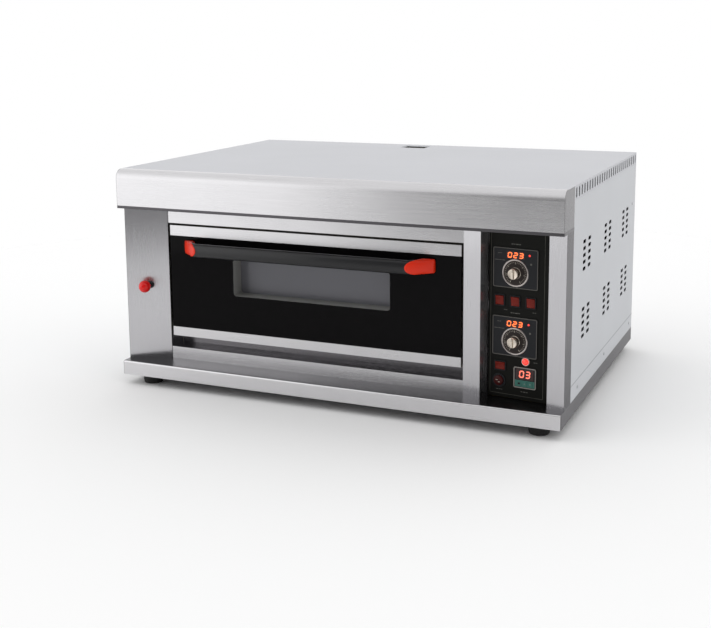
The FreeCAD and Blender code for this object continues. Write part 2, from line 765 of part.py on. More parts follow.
def door_skins():
    """Black front panel, stainless strips above and below it, and the inner tray."""
    x0, x1 = door_x0, door_x1
    z0, z1 = door_z + bottom_strip_h, door_z1 - top_strip_h
    panel = box(x0, x1, rail_y, rail_y + door_glass_t, z0 + seam, z1 - seam)
    opening = window_block(rail_y - 1, rail_y + 9, sheet + window_frame_fit, window_r)
    save("door_front_panel", cut(panel, opening))
    top = folded([(door_back, door_z1), (rail_y, door_z1), (rail_y, z1)])
    bottom = folded([(rail_y, z0), (rail_y, door_z), (door_back, door_z)])
    save("door_strips", group([side_prism(top, x0, x1), side_prism(bottom, x0, x1)]))
    face = rail_y + door_glass_t + seam
    tray = box(x0, x1, face, door_back, door_z + sheet + seam, door_z1 - sheet - seam)
    hollow = box(x0 + sheet, x1 - sheet, face - 1, door_back - sheet, door_z - 1, door_z1 + 1)
    opening = window_block(face - 1, door_back + 1, -seam, window_r)
    pin_holes = rod((x0 - 1, hinge_y, hinge_z), (x1 + 1, hinge_y, hinge_z), hinge_pin_r + 1)
    save("door_inner_panel", cut(tray, hollow, opening, pin_holes))


def door_window():
    """Deep window reveal and its pane near the back."""
    back = door_back - sheet - seam
    hollow = window_block(rail_y - 1, back + 1, 0, window_r - sheet)
    tube = cut(window_block(rail_y, back, sheet, window_r), hollow)
    save("door_window_box", tube)
    pane_y = back - pane_t - 3
    save("door_window_glass", window_block(pane_y, pane_y + pane_t, -seam, window_r - sheet))


def hinge_places():
    """For each side: the door face (x), the jamb face (x) and the way into the door."""
    return ((door_x0, pillar_w, 1), (door_x1, post_x, -1))


def ordered_box(xa, xb, y0, y1, z0, z1):
    """A block whose x limits may come in either order."""
    return box(min(xa, xb), max(xa, xb), y0, y1, z0, z1)


def door_hinges():
    """Bush blocks in the door's lower corners, and jamb brackets with the fixed pins."""
    blocks, brackets = [], []
    for face, jamb, way in hinge_places():
        near, far = face + way * (sheet + seam), face + way * (sheet + seam + bush_block_l)
        y0, z0 = hinge_y - bush_block_d / 2, door_z + sheet + seam
        block = ordered_box(near, far, y0, y0 + bush_block_d, z0, z0 + bush_block_h)
        bore = rod((near - way, hinge_y, hinge_z), (far + way, hinge_y, hinge_z), hinge_pin_r + hinge_fit)
        blocks.append(cut(block, bore))
        y0, z0 = hinge_y - 12, hinge_z - 10
        ear = ordered_box(jamb, jamb + way * bracket_t, y0, y0 + 36, z0, z0 + 36)
        pin = rod((jamb, hinge_y, hinge_z), (far - way * 2, hinge_y, hinge_z), hinge_pin_r)
        brackets.append(fuse(ear, pin))
    save("door_hinge_bushes", group(blocks))
    save("hinge_brackets", group(brackets))


def door_filling():
    """Mineral wool slab in the door and the seal round its back."""
    y0, y1 = rail_y + door_glass_t + 1, door_back - sheet - 1
    slab = box(door_x0 + 4, door_x1 - 4, y0, y1, door_z + 4, door_z1 - 4)
    corners = []
    for face, _, way in hinge_places():
        corner_z = door_z + bush_block_h + 4
        far = face + way * (bush_block_l + 8)
        corners.append(ordered_box(face - way, far, y0 - 1, y1 + 1, door_z, corner_z))
    window = window_block(y0 - 1, y1 + 1, sheet + 1, window_r)
    save("door_insulation", cut(slab, window, *corners))
    z0 = chamber_floor_z - gasket_w - 1.5
    z1 = chamber_z1 + gasket_w + 1.5
    x0, x1 = chamber_x0 - gasket_w - 1, chamber_x1 + gasket_w + 1
    y1 = mouth_y - gasket_gap
    ring = rounded(x0, x1, door_back, y1, z0, z1, 14, (0, 1, 0))
    hole = rounded(
        x0 + gasket_w, x1 - gasket_w, door_back - 1, y1 + 1, z0 + gasket_w, z1 - gasket_w, 4, (0, 1, 0)
    )
    save("door_gasket", cut(ring, hole))


def handle():
    """Bar handle with two sloping ends that reach back to the door."""
    x0, x1 = handle_x0 + handle_end_l, handle_x1 - handle_end_l
    z0, z1 = handle_z - handle_h / 2, handle_z + handle_h / 2
    bar = rounded(x0, x1, handle_front, handle_front + handle_t, z0, z1, handle_t / 2 - 3, (1, 0, 0))
    save("handle_bar", bar)
    ends = []
    for inner, outer, way in ((x0, handle_x0, -1), (x1, handle_x1, 1)):
        gap = way * seam
        outline = [
            (inner + gap, handle_front),
            (inner + way * 6, handle_front),
            (outer, rail_y - 7),
            (outer, rail_y),
            (outer - way * 34, rail_y),
            (inner + gap, handle_front + handle_t + 4),
        ]
        body = plan_prism(outline, z0 - 1, z1 + 1)
        slopes = edges_along(body, (0, 0, 1), lambda p: p.y < rail_y - 8)
        ends.append(body.makeFillet(2.5, slopes))
    save("handle_ends", group(ends))


# ---------------------------------------------------------------------------- controls
def framed(t, z, width, height, depth, fit=4.0):
    """A bezel in front of the plate with a body behind it, drawn on the fascia."""
    front = plate_depth - bezel_t
    half_w, half_h = width / 2, height / 2
    bezel = rounded(t - half_w, t + half_w, front, plate_depth, z - half_h, z + half_h, 4, (0, 1, 0))
    w, h = width / 2 - fit, height / 2 - fit
    return fuse(bezel, box(t - w, t + w, plate_depth - 0.5, plate_depth + depth, z - h, z + h))


def cutout(t, z, width, height, fit=4.0):
    """The hole in the plate for a framed piece."""
    w, h = width / 2 - fit + cut_fit, height / 2 - fit + cut_fit
    return box(t - w, t + w, plate_depth - 1, plate_depth + plate_t + 1, z - h, z + h)


def control_plate():
    """Black plate behind the posts with a hole for each control."""
    t0, t1 = post_w + bay_splay + 1, fascia_len - right_post_w - seam
    plate = box(t0, t1, plate_depth, plate_depth + plate_t, ledge_z + 1, hood_z - 1)
    holes = [cutout(case_t, z, case_w, case_h) for z in case_z]
    holes.append(cutout(*timer_at, timer_w, timer_h))
    holes += [cutout(*switch, switch_fit) for switch in switches]
    for (t, z), r in ((alarm_at, alarm_r + 0.8), (lamp_at, lens_body_r)):
        holes.append(rod((t, plate_depth - 1, z), (t, plate_depth + plate_t + 1, z), r + cut_fit))
    save("control_plate", on_fascia(cut(plate, *holes)))


def window_places():
    """Each digit window as (along, up, width, height)."""
    places = [(case_t, z + digit_rise, *window_sizes["case"]) for z in case_z]
    places.append((timer_at[0], timer_at[1] + timer_window_rise, *window_sizes["timer"]))
    return places


def window_shape(place, grow, y0, y1):
    """A digit window or its pocket."""
    t, z, w, h = place
    return box(t - w / 2 - grow, t + w / 2 + grow, y0, y1, z - h / 2 - grow, z + h / 2 + grow)


def keys_at():
    """Centres of the timer keys."""
    return [(timer_at[0] + i * key_pitch, timer_at[1] - key_drop) for i in (-1, 0, 1)]


def instruments():
    """Two thermostats and a timer in black cases, their digit windows and the timer keys."""
    front = plate_depth - bezel_t
    cases = []
    for z in case_z:
        dial_z = z - dial_drop
        shaft = rod((case_t, front - 1, dial_z), (case_t, front + 30, dial_z), dial_shaft_r + shaft_fit)
        cases.append(cut(framed(case_t, z, case_w, case_h, case_depth), shaft))
    key_pockets = []
    for t, z in keys_at():
        half = key_size / 2 + key_fit
        key_pockets.append(box(t - half, t + half, front - 1, front + 5, z - half, z + half))
    cases.append(cut(framed(*timer_at, timer_w, timer_h, case_depth - 12), *key_pockets))
    pockets = [window_shape(p, 0.1, front - 1, front + window_sink) for p in window_places()]
    save("instrument_cases", on_fascia(group([cut(case, *pockets) for case in cases])))
    y1 = front + window_sink
    panes = [window_shape(p, 0, y1 - window_t, y1) for p in window_places()]
    save("digit_windows", on_fascia(group(panes)))
    for i, (t, z) in enumerate(keys_at()):
        half = key_size / 2
        key = rounded(t - half, t + half, front - key_proud, front + 3, z - half, z + half, 1.5, (0, 1, 0))
        save("timer_key_%d" % (i + 1), on_fascia(key))


def dial_knobs():
    """The two temperature knobs with their shafts."""
    front = plate_depth - bezel_t - 0.6
    for name, z in zip(("upper_dial_knob", "lower_dial_knob"), case_z):
        centre = z - dial_drop
        tip = (case_t, front - dial_knob_l, centre)
        knob = cone((case_t, front, centre), tip, dial_knob_r, dial_knob_r - 1.5)
        grip = box(case_t - 3, case_t + 3, front - dial_knob_l - 3, front - 4, centre - 12, centre + 12)
        shaft = rod((case_t, front - 1, centre), (case_t, front + 26, centre), dial_shaft_r)
        save(name, on_fascia(fuse(knob, grip, shaft)))


def rocker_pivot_depth():
    """How far in from the fascia the rockers turn."""
    return plate_depth - bezel_t - rocker_proud + rocker_thick / 2 + 1


def switch_parts():
    """Frames of the four rockers and the alarm button, the rockers themselves and the button."""
    front = plate_depth - bezel_t
    pivot = rocker_pivot_depth()
    housings = []
    for i, (t, z, w, h) in enumerate(switches):
        half_w, half_h = w / 2 - rocker_wall, h / 2 - rocker_wall
        pocket = box(t - half_w, t + half_w, front - 1, front + pocket_depth, z - half_h, z + half_h)
        pin_l = half_w + 0.9
        pin_hole = rod((t - pin_l, pivot, z), (t + pin_l, pivot, z), rocker_pin_r + rocker_pin_fit)
        housings.append(cut(framed(t, z, w, h, switch_depth, switch_fit), pocket, pin_hole))
        pw, ph = half_w - rocker_fit, half_h - 2 * rocker_fit
        face = front - rocker_proud
        paddle = rounded(t - pw, t + pw, face, face + rocker_thick, z - ph, z + ph, 1, (0, 1, 0))
        pin = rod((t - pin_l + 0.3, pivot, z), (t + pin_l - 0.3, pivot, z), rocker_pin_r)
        rocker = fuse(paddle, pin)
        rocker.rotate(Vector(t, pivot, z), Vector(1, 0, 0), rocker_tilt)
        save("rocker_%d" % (i + 1), on_fascia(rocker))
    t, z = alarm_at
    rim = rod((t, front, z), (t, plate_depth, z), alarm_r + alarm_rim)
    sleeve = rod((t, plate_depth - 0.5, z), (t, plate_depth + 26, z), alarm_r + 0.8)
    well = rod((t, front - 1, z), (t, plate_depth + 20, z), alarm_body_r + key_fit)
    housings.append(cut(fuse(rim, sleeve), well))
    save("switch_housings", on_fascia(group(housings)))
    save("alarm_button", on_fascia(rod((t, front - 5, z), (t, plate_depth + 10, z), alarm_body_r)))
    t, z = lamp_at
    lens = cone((t, plate_depth, z), (t, front - 1.5, z), lens_r, lens_r - 2)
    stem = rod((t, plate_depth, z), (t, plate_depth + 24, z), lens_body_r)
    save("indicator_lamp", on_fascia(fuse(lens, stem)))


# ---------------------------------------------------------------------------- electrics
def contactor(x, y, floor):
    """One contactor with a ribbed end, standing on the base."""
    x0, x1 = x - contactor_d / 2, x + contactor_d / 2
    body = rounded(x0, x1, y, y + contactor_w, floor, floor + contactor_h, 3, (0, 0, 1))
    depth, width, height = contactor_rib
    first = y + (contactor_w - (contactor_ribs - 1) * contactor_rib_pitch - width) / 2
    z0 = floor + (contactor_h - height) / 2 + 3
    starts = [first + i * contactor_rib_pitch for i in range(contactor_ribs)]
    return cut(body, *[box(x0 - 1, x0 - 1 + depth, r, r + width, z0, z0 + height) for r in starts])


def terminal_block(x):
    """Terminal block on the rear panel, with a pocket for each way."""
    length, depth, height = terminal_block_size
    x0, y0, z0 = x - length / 2, rear_y - depth, terminal_block_z
    block = rounded(x0, x0 + length, y0, rear_y, z0, z0 + height, 3, (1, 0, 0))
    wide, deep, high = terminal_slot
    first = x0 + (length - (terminal_ways - 1) * terminal_pitch - wide) / 2
    starts = [first + i * terminal_pitch for i in range(terminal_ways)]
    pocket_z = z0 + (height - high) / 2
    return cut(block, *[box(p, p + wide, y0 - 1, y0 + deep, pocket_z, pocket_z + high) for p in starts])


def wiring(x, block_y, floor):
    """Sleeved wires from the terminal block to the contactors, and from those to the thermostats."""
    top = floor + contactor_h
    case_x, case_y = fascia_point(case_t, plate_depth + case_depth)
    runs = []
    for i, y in enumerate(contactors_y):
        aside = wire_pitch * (i - 0.5)
        middle = y + contactor_w / 2
        over = [(x + aside, block_y, wire_high_z), (x + aside, middle, wire_high_z), (x + aside, middle, top)]
        runs.append(bent_tube(over, wire_r, 2 * wire_bend_r))
        wire_x = case_x + wire_aside + aside
        turn_y = contactors_y[0] - wire_turn - wire_stagger * i
        end_z = case_z[i] - wire_drop
        under = [(wire_x, contactors_y[0], wire_low_z), (wire_x, turn_y, wire_low_z), (wire_x, turn_y, end_z)]
        runs.append(bent_tube(under + [(wire_x, case_y + 1, end_z)], wire_r, wire_bend_r))
    return group(runs)


def cable_gland():
    """Gland through the rear panel: thread, two nuts, dome and the cable's bore."""
    outside = rear_y + sheet
    y0, y1 = rear_y - gland_thread_l + sheet + 2.8, outside + 4
    body = rod((gland_x, y0, gland_z), (gland_x, y1, gland_z), gland_thread_r)
    outer_nut = hex_bar(gland_x, outside, gland_z, gland_hex_r, gland_hex_l)
    inner_nut = hex_bar(gland_x, rear_y - gland_hex_l, gland_z, gland_hex_r, gland_hex_l)
    dome_start, dome_end = (gland_x, outside + gland_hex_l, gland_z), (gland_x, outside + gland_out, gland_z)
    dome = cone(dome_start, dome_end, gland_hex_r - 2, gland_bore_r + 2)
    bore = rod((gland_x, y0 - 10, gland_z), (gland_x, outside + 2 * gland_out, gland_z), gland_bore_r)
    return cut(fuse(body, outer_nut, dome, inner_nut), bore)


def electrics():
    """Contactors, terminal block, wiring harness and the cable gland."""
    x = (bay_x + right_x) / 2
    floor = base_z + sheet
    save("contactors", group([contactor(x, y, floor) for y in contactors_y]))
    save("terminal_block", terminal_block(x))
    save("wiring_harness", wiring(x, rear_y - terminal_block_size[1], floor))
    save("cable_gland", cable_gland())


def hex_bar(x, y, z, radius, length):
    """A six-sided bar along Y."""
    corners = [(math.radians(60 * i + 30)) for i in range(6)]
    points = [Vector(x + radius * math.cos(a), y, z + radius * math.sin(a)) for a in corners]
    return Part.Face(Part.makePolygon(points + points[:1])).extrude(Vector(0, length, 0))


def joint_places():
    """Prints where the joints are, in metres, and the way into the control fascia."""
    print("door hinge", to_row(overall_w / 2, hinge_y, hinge_z))
    pivot = rocker_pivot_depth()
    for i, (t, z, _, _) in enumerate(switches):
        print("rocker %d" % (i + 1), to_row(*fascia_point(t, pivot), z))
    for z in case_z:
        print("dial", to_row(*fascia_point(case_t, plate_depth), z - dial_drop))
    a = math.radians(fascia_angle)
    sine, cosine = round(math.sin(a), 6), round(math.cos(a), 6)
    print("inwards", (sine, cosine, 0), "along", (cosine, -sine, 0))
    print("gland", to_row(gland_x, rear_y, gland_z))


def build():
    """Makes every node."""
    os.makedirs(parts_dir, exist_ok=True)
    for make in (
        base_pan, front_ledge, feet, fasteners, hood_fascia, top_sheet, side_panels, rear_panel, left_pillar,
        centre_post, right_post, header_rail, sill_rail, chamber_left_wall, chamber_right_wall, chamber_roof,
        chamber_floor, chamber_rear_wall, deck_plate, chamber_insulation, temperature_probes, lamp, flue_duct,
        damper, door_skins, door_window, door_hinges, door_filling, handle, control_plate, instruments,
        dial_knobs, switch_parts, electrics, joint_places,
    ):
        make()
    elements("upper_elements", upper_element_z)
    elements("lower_elements", lower_element_z)


build()
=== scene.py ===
"""A one-deck electric baking oven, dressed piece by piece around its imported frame."""

import json
import logging
import math
from collections.abc import Sequence
from dataclasses import dataclass
from enum import Enum

import bmesh
import bpy
import numpy as np
from mathutils import Matrix, Vector


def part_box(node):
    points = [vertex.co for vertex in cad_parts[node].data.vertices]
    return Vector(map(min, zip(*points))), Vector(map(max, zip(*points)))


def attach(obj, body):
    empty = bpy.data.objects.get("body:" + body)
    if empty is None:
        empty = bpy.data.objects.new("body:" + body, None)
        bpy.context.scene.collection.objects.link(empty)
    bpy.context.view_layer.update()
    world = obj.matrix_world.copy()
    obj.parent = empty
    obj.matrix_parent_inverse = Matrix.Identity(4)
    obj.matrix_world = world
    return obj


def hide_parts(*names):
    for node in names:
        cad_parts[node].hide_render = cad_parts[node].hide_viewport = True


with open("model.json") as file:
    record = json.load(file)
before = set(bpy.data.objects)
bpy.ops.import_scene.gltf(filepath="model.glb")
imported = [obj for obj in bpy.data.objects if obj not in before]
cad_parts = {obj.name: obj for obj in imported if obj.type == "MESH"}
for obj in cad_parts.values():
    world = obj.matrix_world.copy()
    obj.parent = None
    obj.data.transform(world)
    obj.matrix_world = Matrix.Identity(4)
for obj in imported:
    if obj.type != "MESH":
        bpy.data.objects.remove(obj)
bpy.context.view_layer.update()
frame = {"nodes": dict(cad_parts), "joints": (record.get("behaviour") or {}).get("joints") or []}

LOG = logging.getLogger("deck_oven")
MM = 0.001
RIGHT, BACK, UP = np.eye(3)
WHITE = (1.0, 1.0, 1.0, 1.0)
MIX_SOCKETS = (0, 6, 7, 2)
Skin = tuple[np.ndarray, list[tuple[int, ...]]]


class Grain(Enum):
    """The way that a brushed sheet's scratches run, as how far the pattern is squeezed along X, Y and Z."""

    ACROSS = (0.012, 1.0, 1.0)
    DEPTH = (1.0, 0.012, 1.0)
    UPRIGHT = (1.0, 1.0, 0.012)


# ---------------------------------------------------------------- node and colour helpers
def hex_colour(code: str) -> tuple[float, float, float, float]:
    """Turns an sRGB hex colour into the linear values that shaders use.

    Args:
        code: Six hex digits after a hash sign.

    Returns:
        Linear red, green and blue, and an alpha of one.
    """
    srgb = np.array([int(code[i:i + 2], 16) for i in (1, 3, 5)]) / 255.0
    linear = np.where(srgb <= 0.04045, srgb / 12.92, ((srgb + 0.055) / 1.055) ** 2.4)
    return (*linear.tolist(), 1.0)


def add_node(
    tree: bpy.types.NodeTree, kind: str, inputs: dict | None = None, **settings: object
) -> bpy.types.Node:
    """Adds one shader node with its settings and links.

    Args:
        tree: The node tree that gets the node.
        kind: The node's type name.
        inputs: Input name or number to a value, or to the output socket that feeds it.
        settings: Attributes set on the node.

    Returns:
        The new node.
    """
    node = tree.nodes.new(kind)
    for key, value in settings.items():
        setattr(node, key, value)
    for key, value in (inputs or {}).items():
        if isinstance(value, bpy.types.NodeSocket):
            tree.links.new(value, node.inputs[key])
        else:
            node.inputs[key].default_value = value
    return node


def ramp(
    tree: bpy.types.NodeTree, source: bpy.types.NodeSocket, stops: Sequence[tuple]
) -> bpy.types.NodeSocket:
    """Maps a value onto colours or greys.

    Args:
        tree: The node tree.
        source: The socket with the value.
        stops: Pairs of position and linear colour, at least two.

    Returns:
        The ramp's colour output.
    """
    node = add_node(tree, "ShaderNodeValToRGB", {"Fac": source})
    elements = node.color_ramp.elements
    while len(elements) < len(stops):
        elements.new(0.5)
    for element, (position, colour) in zip(elements, stops):
        element.position = position
        element.color = colour if isinstance(colour, tuple) else (colour, colour, colour, 1.0)
    return node.outputs["Color"]


def object_pattern(
    tree: bpy.types.NodeTree, size_mm: float, squeeze: Sequence[float] = (1.0, 1.0, 1.0), detail: float = 3.0
) -> bpy.types.NodeSocket:
    """Noise on object coordinates with features of a real size.

    Args:
        tree: The node tree.
        size_mm: Width of one feature in millimetres.
        squeeze: Share of the frequency kept along X, Y and Z; a small one draws the features out.
        detail: Octaves of finer noise.

    Returns:
        The noise value, from 0 to 1.
    """
    place = add_node(tree, "ShaderNodeTexCoord").outputs["Object"]
    stretched = add_node(tree, "ShaderNodeMapping", {"Vector": place, "Scale": tuple(squeeze)})
    frequency = 1.0 / (size_mm * MM)
    noise = add_node(
        tree, "ShaderNodeTexNoise",
        {"Vector": stretched.outputs["Vector"], "Scale": frequency, "Detail": detail, "Roughness": 0.55},
    )
    return noise.outputs["Fac"]


def blended(
    tree: bpy.types.NodeTree, amount: bpy.types.NodeSocket,
    low: tuple | bpy.types.NodeSocket, high: tuple | bpy.types.NodeSocket,
) -> bpy.types.NodeSocket:
    """Mixes two colours by a pattern.

    Args:
        tree: The node tree.
        amount: The pattern's value.
        low: Linear colour, or the socket that feeds it, where the pattern is 0.
        high: Linear colour, or the socket that feeds it, where the pattern is 1.

    Returns:
        The mixed colour.
    """
    factor, first, second, colour = MIX_SOCKETS
    inputs = {factor: amount, first: low, second: high}
    return add_node(tree, "ShaderNodeMix", inputs, data_type="RGBA").outputs[colour]


def shaded(code: str, share: float, lift: float = 0.0) -> tuple[float, float, float, float]:
    """A lighter or darker tone of an sRGB hex colour.

    Args:
        code: The colour.
        share: What its linear values are multiplied by.
        lift: What is added to them after that.

    Returns:
        The linear tone, no brighter than white.
    """
    tone = np.minimum(np.array(hex_colour(code))[:3] * share + lift, 1.0)
    return (*tone.tolist(), 1.0)


# ---------------------------------------------------------------- finishes
@dataclass(frozen=True)
class Finish:
    """What every finish of the oven shares.

    Attributes:
        title: The material's name.
        colour: Main sRGB hex colour.
        roughness: Middle roughness.
        shine: Strength of its plain reflection, where 0.5 is the full one for its IOR.
    """

    title: str
    colour: str
    roughness: float = 0.4
    shine: float = 0.5

    def begin(self) -> tuple[bpy.types.Material, bpy.types.NodeTree, bpy.types.Node]:
        """Makes the material with an empty shader.

        Returns:
            The material, its node tree and its Principled shader.
        """
        material = bpy.data.materials.new(self.title)
        material.use_nodes = True
        tree = material.node_tree
        shader = tree.nodes["Principled BSDF"]
        shader.inputs["Base Color"].default_value = hex_colour(self.colour)
        shader.inputs["Roughness"].default_value = self.roughness
        shader.inputs["Specular IOR Level"].default_value = self.shine
        material.diffuse_color = hex_colour(self.colour)
        return material, tree, shader

    def bump(
        self, tree: bpy.types.NodeTree, shader: bpy.types.Node, height: bpy.types.NodeSocket, depth_mm: float
    ) -> None:
        """Feeds a height pattern to the shader's normal.

        Args:
            tree: The node tree.
            shader: The Principled shader.
            height: The pattern.
            depth_mm: How deep the pattern is, in millimetres.
        """
        relief = {"Height": height, "Strength": 1.0, "Distance": depth_mm * MM}
        node = add_node(tree, "ShaderNodeBump", relief)
        tree.links.new(node.outputs["Normal"], shader.inputs["Normal"])

    def spread_roughness(
        self, tree: bpy.types.NodeTree, shader: bpy.types.Node, pattern: bpy.types.NodeSocket, spread: float
    ) -> None:
        """Varies the roughness about its middle.

        Args:
            tree: The node tree.
            shader: The Principled shader.
            pattern: A value from 0 to 1.
            spread: How far the roughness goes each way.
        """
        limits = {"Value": pattern, "To Min": self.roughness - spread, "To Max": self.roughness + spread}
        mapped = add_node(tree, "ShaderNodeMapRange", limits)
        tree.links.new(mapped.outputs["Result"], shader.inputs["Roughness"])


@dataclass(frozen=True)
class BrushedStainless(Finish):
    """Austenitic sheet with a belt-brushed face: long fine scratches that draw highlights out across them.

    Attributes:
        grain: Which way the scratches run.
        scratch_mm: Distance between scratches. Real ones are near 0.1 mm; these are coarser, to show.
        depth_mm: Depth of the scratches.
        contrast: How much lighter and darker the scratches are.
        draw: How far highlights are drawn out across the scratches.
        painted_dark_faces: Faces given a darker colour as painted shade and painted dark reflection: the
            axis, how
        far out along it that face begins in millimetres, and its sRGB hex colour.
    """

    grain: Grain = Grain.ACROSS
    scratch_mm: float = 1.3
    depth_mm: float = 0.012
    contrast: float = 0.10
    draw: float = 0.75
    painted_dark_faces: tuple[tuple[str, float, str], ...] = ()

    def build(self) -> bpy.types.Material:
        """Returns the brushed metal."""
        material, tree, shader = self.begin()
        scratches = object_pattern(tree, self.scratch_mm, self.grain.value, 4.0)
        clouds = object_pattern(tree, 180.0, (1.0, 1.0, 1.0), 2.0)
        dark, light = (shaded(self.colour, 1.0 + way * self.contrast) for way in (-1, 1))
        face = blended(tree, scratches, dark, light)
        # The listed faces get a darker tone painted on: painted shade and painted dark reflection.
        for axis, start_mm, painted_dark_tone in self.painted_dark_faces:
            place = add_node(tree, "ShaderNodeTexCoord").outputs["Object"]
            split = add_node(tree, "ShaderNodeSeparateXYZ", {0: place})
            off = add_node(tree, "ShaderNodeMath", {0: split.outputs[axis]}, operation="ABSOLUTE").outputs[0]
            reached = add_node(tree, "ShaderNodeMath", {0: off, 1: start_mm * MM}, operation="GREATER_THAN")
            face = blended(tree, reached.outputs[0], face, hex_colour(painted_dark_tone))
        tree.links.new(face, shader.inputs["Base Color"])
        shader.inputs["Metallic"].default_value = 1.0
        shader.inputs["Anisotropic"].default_value = self.draw
        shader.inputs["Anisotropic Rotation"].default_value = 0.0 if self.grain is Grain.UPRIGHT else 0.25
        around = add_node(tree, "ShaderNodeTangent", direction_type="RADIAL", axis="Z").outputs["Tangent"]
        tree.links.new(around, shader.inputs["Tangent"])
        worn = add_node(tree, "ShaderNodeMath", {0: scratches, 1: clouds}, operation="MULTIPLY")
        self.spread_roughness(tree, shader, worn.outputs[0], 0.08)
        self.bump(tree, shader, scratches, self.depth_mm)
        return material


@dataclass(frozen=True)
class PowderCoat(Finish):
    """Sprayed and baked powder paint: even colour with a low orange peel and a few pale specks.

    Attributes:
        peel_mm: Width of one orange-peel dimple.
        peel_depth_mm: Depth of the dimples.
    """

    peel_mm: float = 2.2
    peel_depth_mm: float = 0.012

    def build(self) -> bpy.types.Material:
        """Returns the painted sheet."""
        material, tree, shader = self.begin()
        peel = object_pattern(tree, self.peel_mm, detail=1.5)
        clouds = object_pattern(tree, 240.0, detail=2.0)
        low, high = (shaded(self.colour, share) for share in (0.955, 1.045))
        tree.links.new(blended(tree, clouds, low, high), shader.inputs["Base Color"])
        shader.inputs["IOR"].default_value = 1.5
        self.spread_roughness(tree, shader, peel, 0.05)
        self.bump(tree, shader, peel, self.peel_depth_mm)
        return material


@dataclass(frozen=True)
class Moulding(Finish):
    """Injection-moulded thermoplastic: a spark-eroded mould texture under a soft or a polished gloss.

    Attributes:
        grit_mm: Width of one grain of the mould's texture.
        grit_depth_mm: Depth of the texture.
        coat: Weight of a polished skin over the plastic.
        glow: Emission strength, for pieces lit from behind.
    """

    grit_mm: float = 0.8
    grit_depth_mm: float = 0.02
    coat: float = 0.0
    glow: float = 0.0

    def build(self) -> bpy.types.Material:
        """Returns the moulded plastic."""
        material, tree, shader = self.begin()
        grit = object_pattern(tree, self.grit_mm, detail=2.0)
        low, high = shaded(self.colour, 0.9), shaded(self.colour, 1.1, 0.0008)
        tree.links.new(blended(tree, grit, low, high), shader.inputs["Base Color"])
        shader.inputs["IOR"].default_value = 1.49
        shader.inputs["Coat Weight"].default_value = self.coat
        shader.inputs["Coat Roughness"].default_value = 0.04
        if self.glow:
            shader.inputs["Emission Color"].default_value = hex_colour(self.colour)
            shader.inputs["Emission Strength"].default_value = self.glow
        self.spread_roughness(tree, shader, grit, 0.04)
        self.bump(tree, shader, grit, self.grit_depth_mm)
        return material


@dataclass(frozen=True)
class BakedEnamel(Finish):
    """Ceramic ink fired onto toughened glass: deep black with a hard wet gloss and faint roller waves.

    Attributes:
        wave_mm: Length of one roller wave in the glass.
    """

    wave_mm: float = 90.0

    def build(self) -> bpy.types.Material:
        """Returns the enamelled glass."""
        material, tree, shader = self.begin()
        waves = object_pattern(tree, self.wave_mm, detail=0.0)
        smears = object_pattern(tree, 26.0, detail=4.0)
        dusty = shaded(self.colour, 1.6, 0.0012)
        tree.links.new(blended(tree, smears, hex_colour(self.colour), dusty), shader.inputs["Base Color"])
        shader.inputs["IOR"].default_value = 1.52
        self.spread_roughness(tree, shader, smears, 0.03)
        self.bump(tree, shader, waves, 0.15)
        return material


@dataclass(frozen=True)
class TintedPane(Finish):
    """Toughened soda-lime glass behind the opening: grey, see-through and slightly greasy.

    Attributes:
        opacity: How much of what lies behind is hidden.
    """

    opacity: float = 0.55

    def build(self) -> bpy.types.Material:
        """Returns the pane's glass."""
        material, tree, shader = self.begin()
        smears = object_pattern(tree, 35.0, detail=5.0)
        shader.inputs["IOR"].default_value = 1.52
        shader.inputs["Alpha"].default_value = self.opacity
        self.spread_roughness(tree, shader, smears, 0.05)
        self.bump(tree, shader, smears, 0.01)
        return material


@dataclass(frozen=True)
class PressedWool(Finish):
    """Bonded mineral wool: a matt felt of short fibres with paler and browner tufts.

    Attributes:
        tuft_mm: Width of one tuft.
    """

    tuft_mm: float = 5.0

    def build(self) -> bpy.types.Material:
        """Returns the wool."""
        material, tree, shader = self.begin()
        fibres = object_pattern(tree, self.tuft_mm, (1.0, 0.25, 1.0), 8.0)
        tufts = object_pattern(tree, 40.0, detail=3.0)
        low, high = (shaded(self.colour, share) for share in (0.7, 1.25))
        tree.links.new(blended(tree, tufts, low, high), shader.inputs["Base Color"])
        self.bump(tree, shader, fibres, 1.2)
        return material


@dataclass(frozen=True)
class HeatedSteel(Finish):
    """Bare steel that has been hot: a dull oxide skin with straw and blue clouds.

    Attributes:
        tint: sRGB hex colour of the heat clouds.
        metallic: How far the oxide still behaves as bare metal.
    """

    tint: str = "#6b5a48"
    metallic: float = 0.9

    def build(self) -> bpy.types.Material:
        """Returns the oxidised steel."""
        material, tree, shader = self.begin()
        clouds = object_pattern(tree, 70.0, detail=5.0)
        rolled = object_pattern(tree, 2.0, (1.0, 0.05, 1.0), 3.0)
        heat = ramp(tree, clouds, ((0.35, hex_colour(self.colour)), (0.7, hex_colour(self.tint))))
        tree.links.new(heat, shader.inputs["Base Color"])
        shader.inputs["Metallic"].default_value = self.metallic
        self.spread_roughness(tree, shader, clouds, 0.12)
        self.bump(tree, shader, rolled, 0.03)
        return material


# ---------------------------------------------------------------- surfaces as arrays, in millimetres
def grid_faces(rows: int, columns: int, closed: bool = False) -> list[tuple]:
    """Quads between the points of a grid whose last column joins its first.

    Args:
        rows: Points along the first parameter.
        columns: Points along the second parameter.
        closed: Whether the last row joins the first.

    Returns:
        Point numbers of each quad.
    """
    i = np.arange(rows if closed else rows - 1)[:, None]
    j = np.arange(columns)[None, :]
    here, below, right = i * columns, (i + 1) % rows * columns, (j + 1) % columns
    quads = np.stack([here + j, here + right, below + right, below + j], axis=-1)
    return [tuple(quad) for quad in quads.reshape(-1, 4).tolist()]


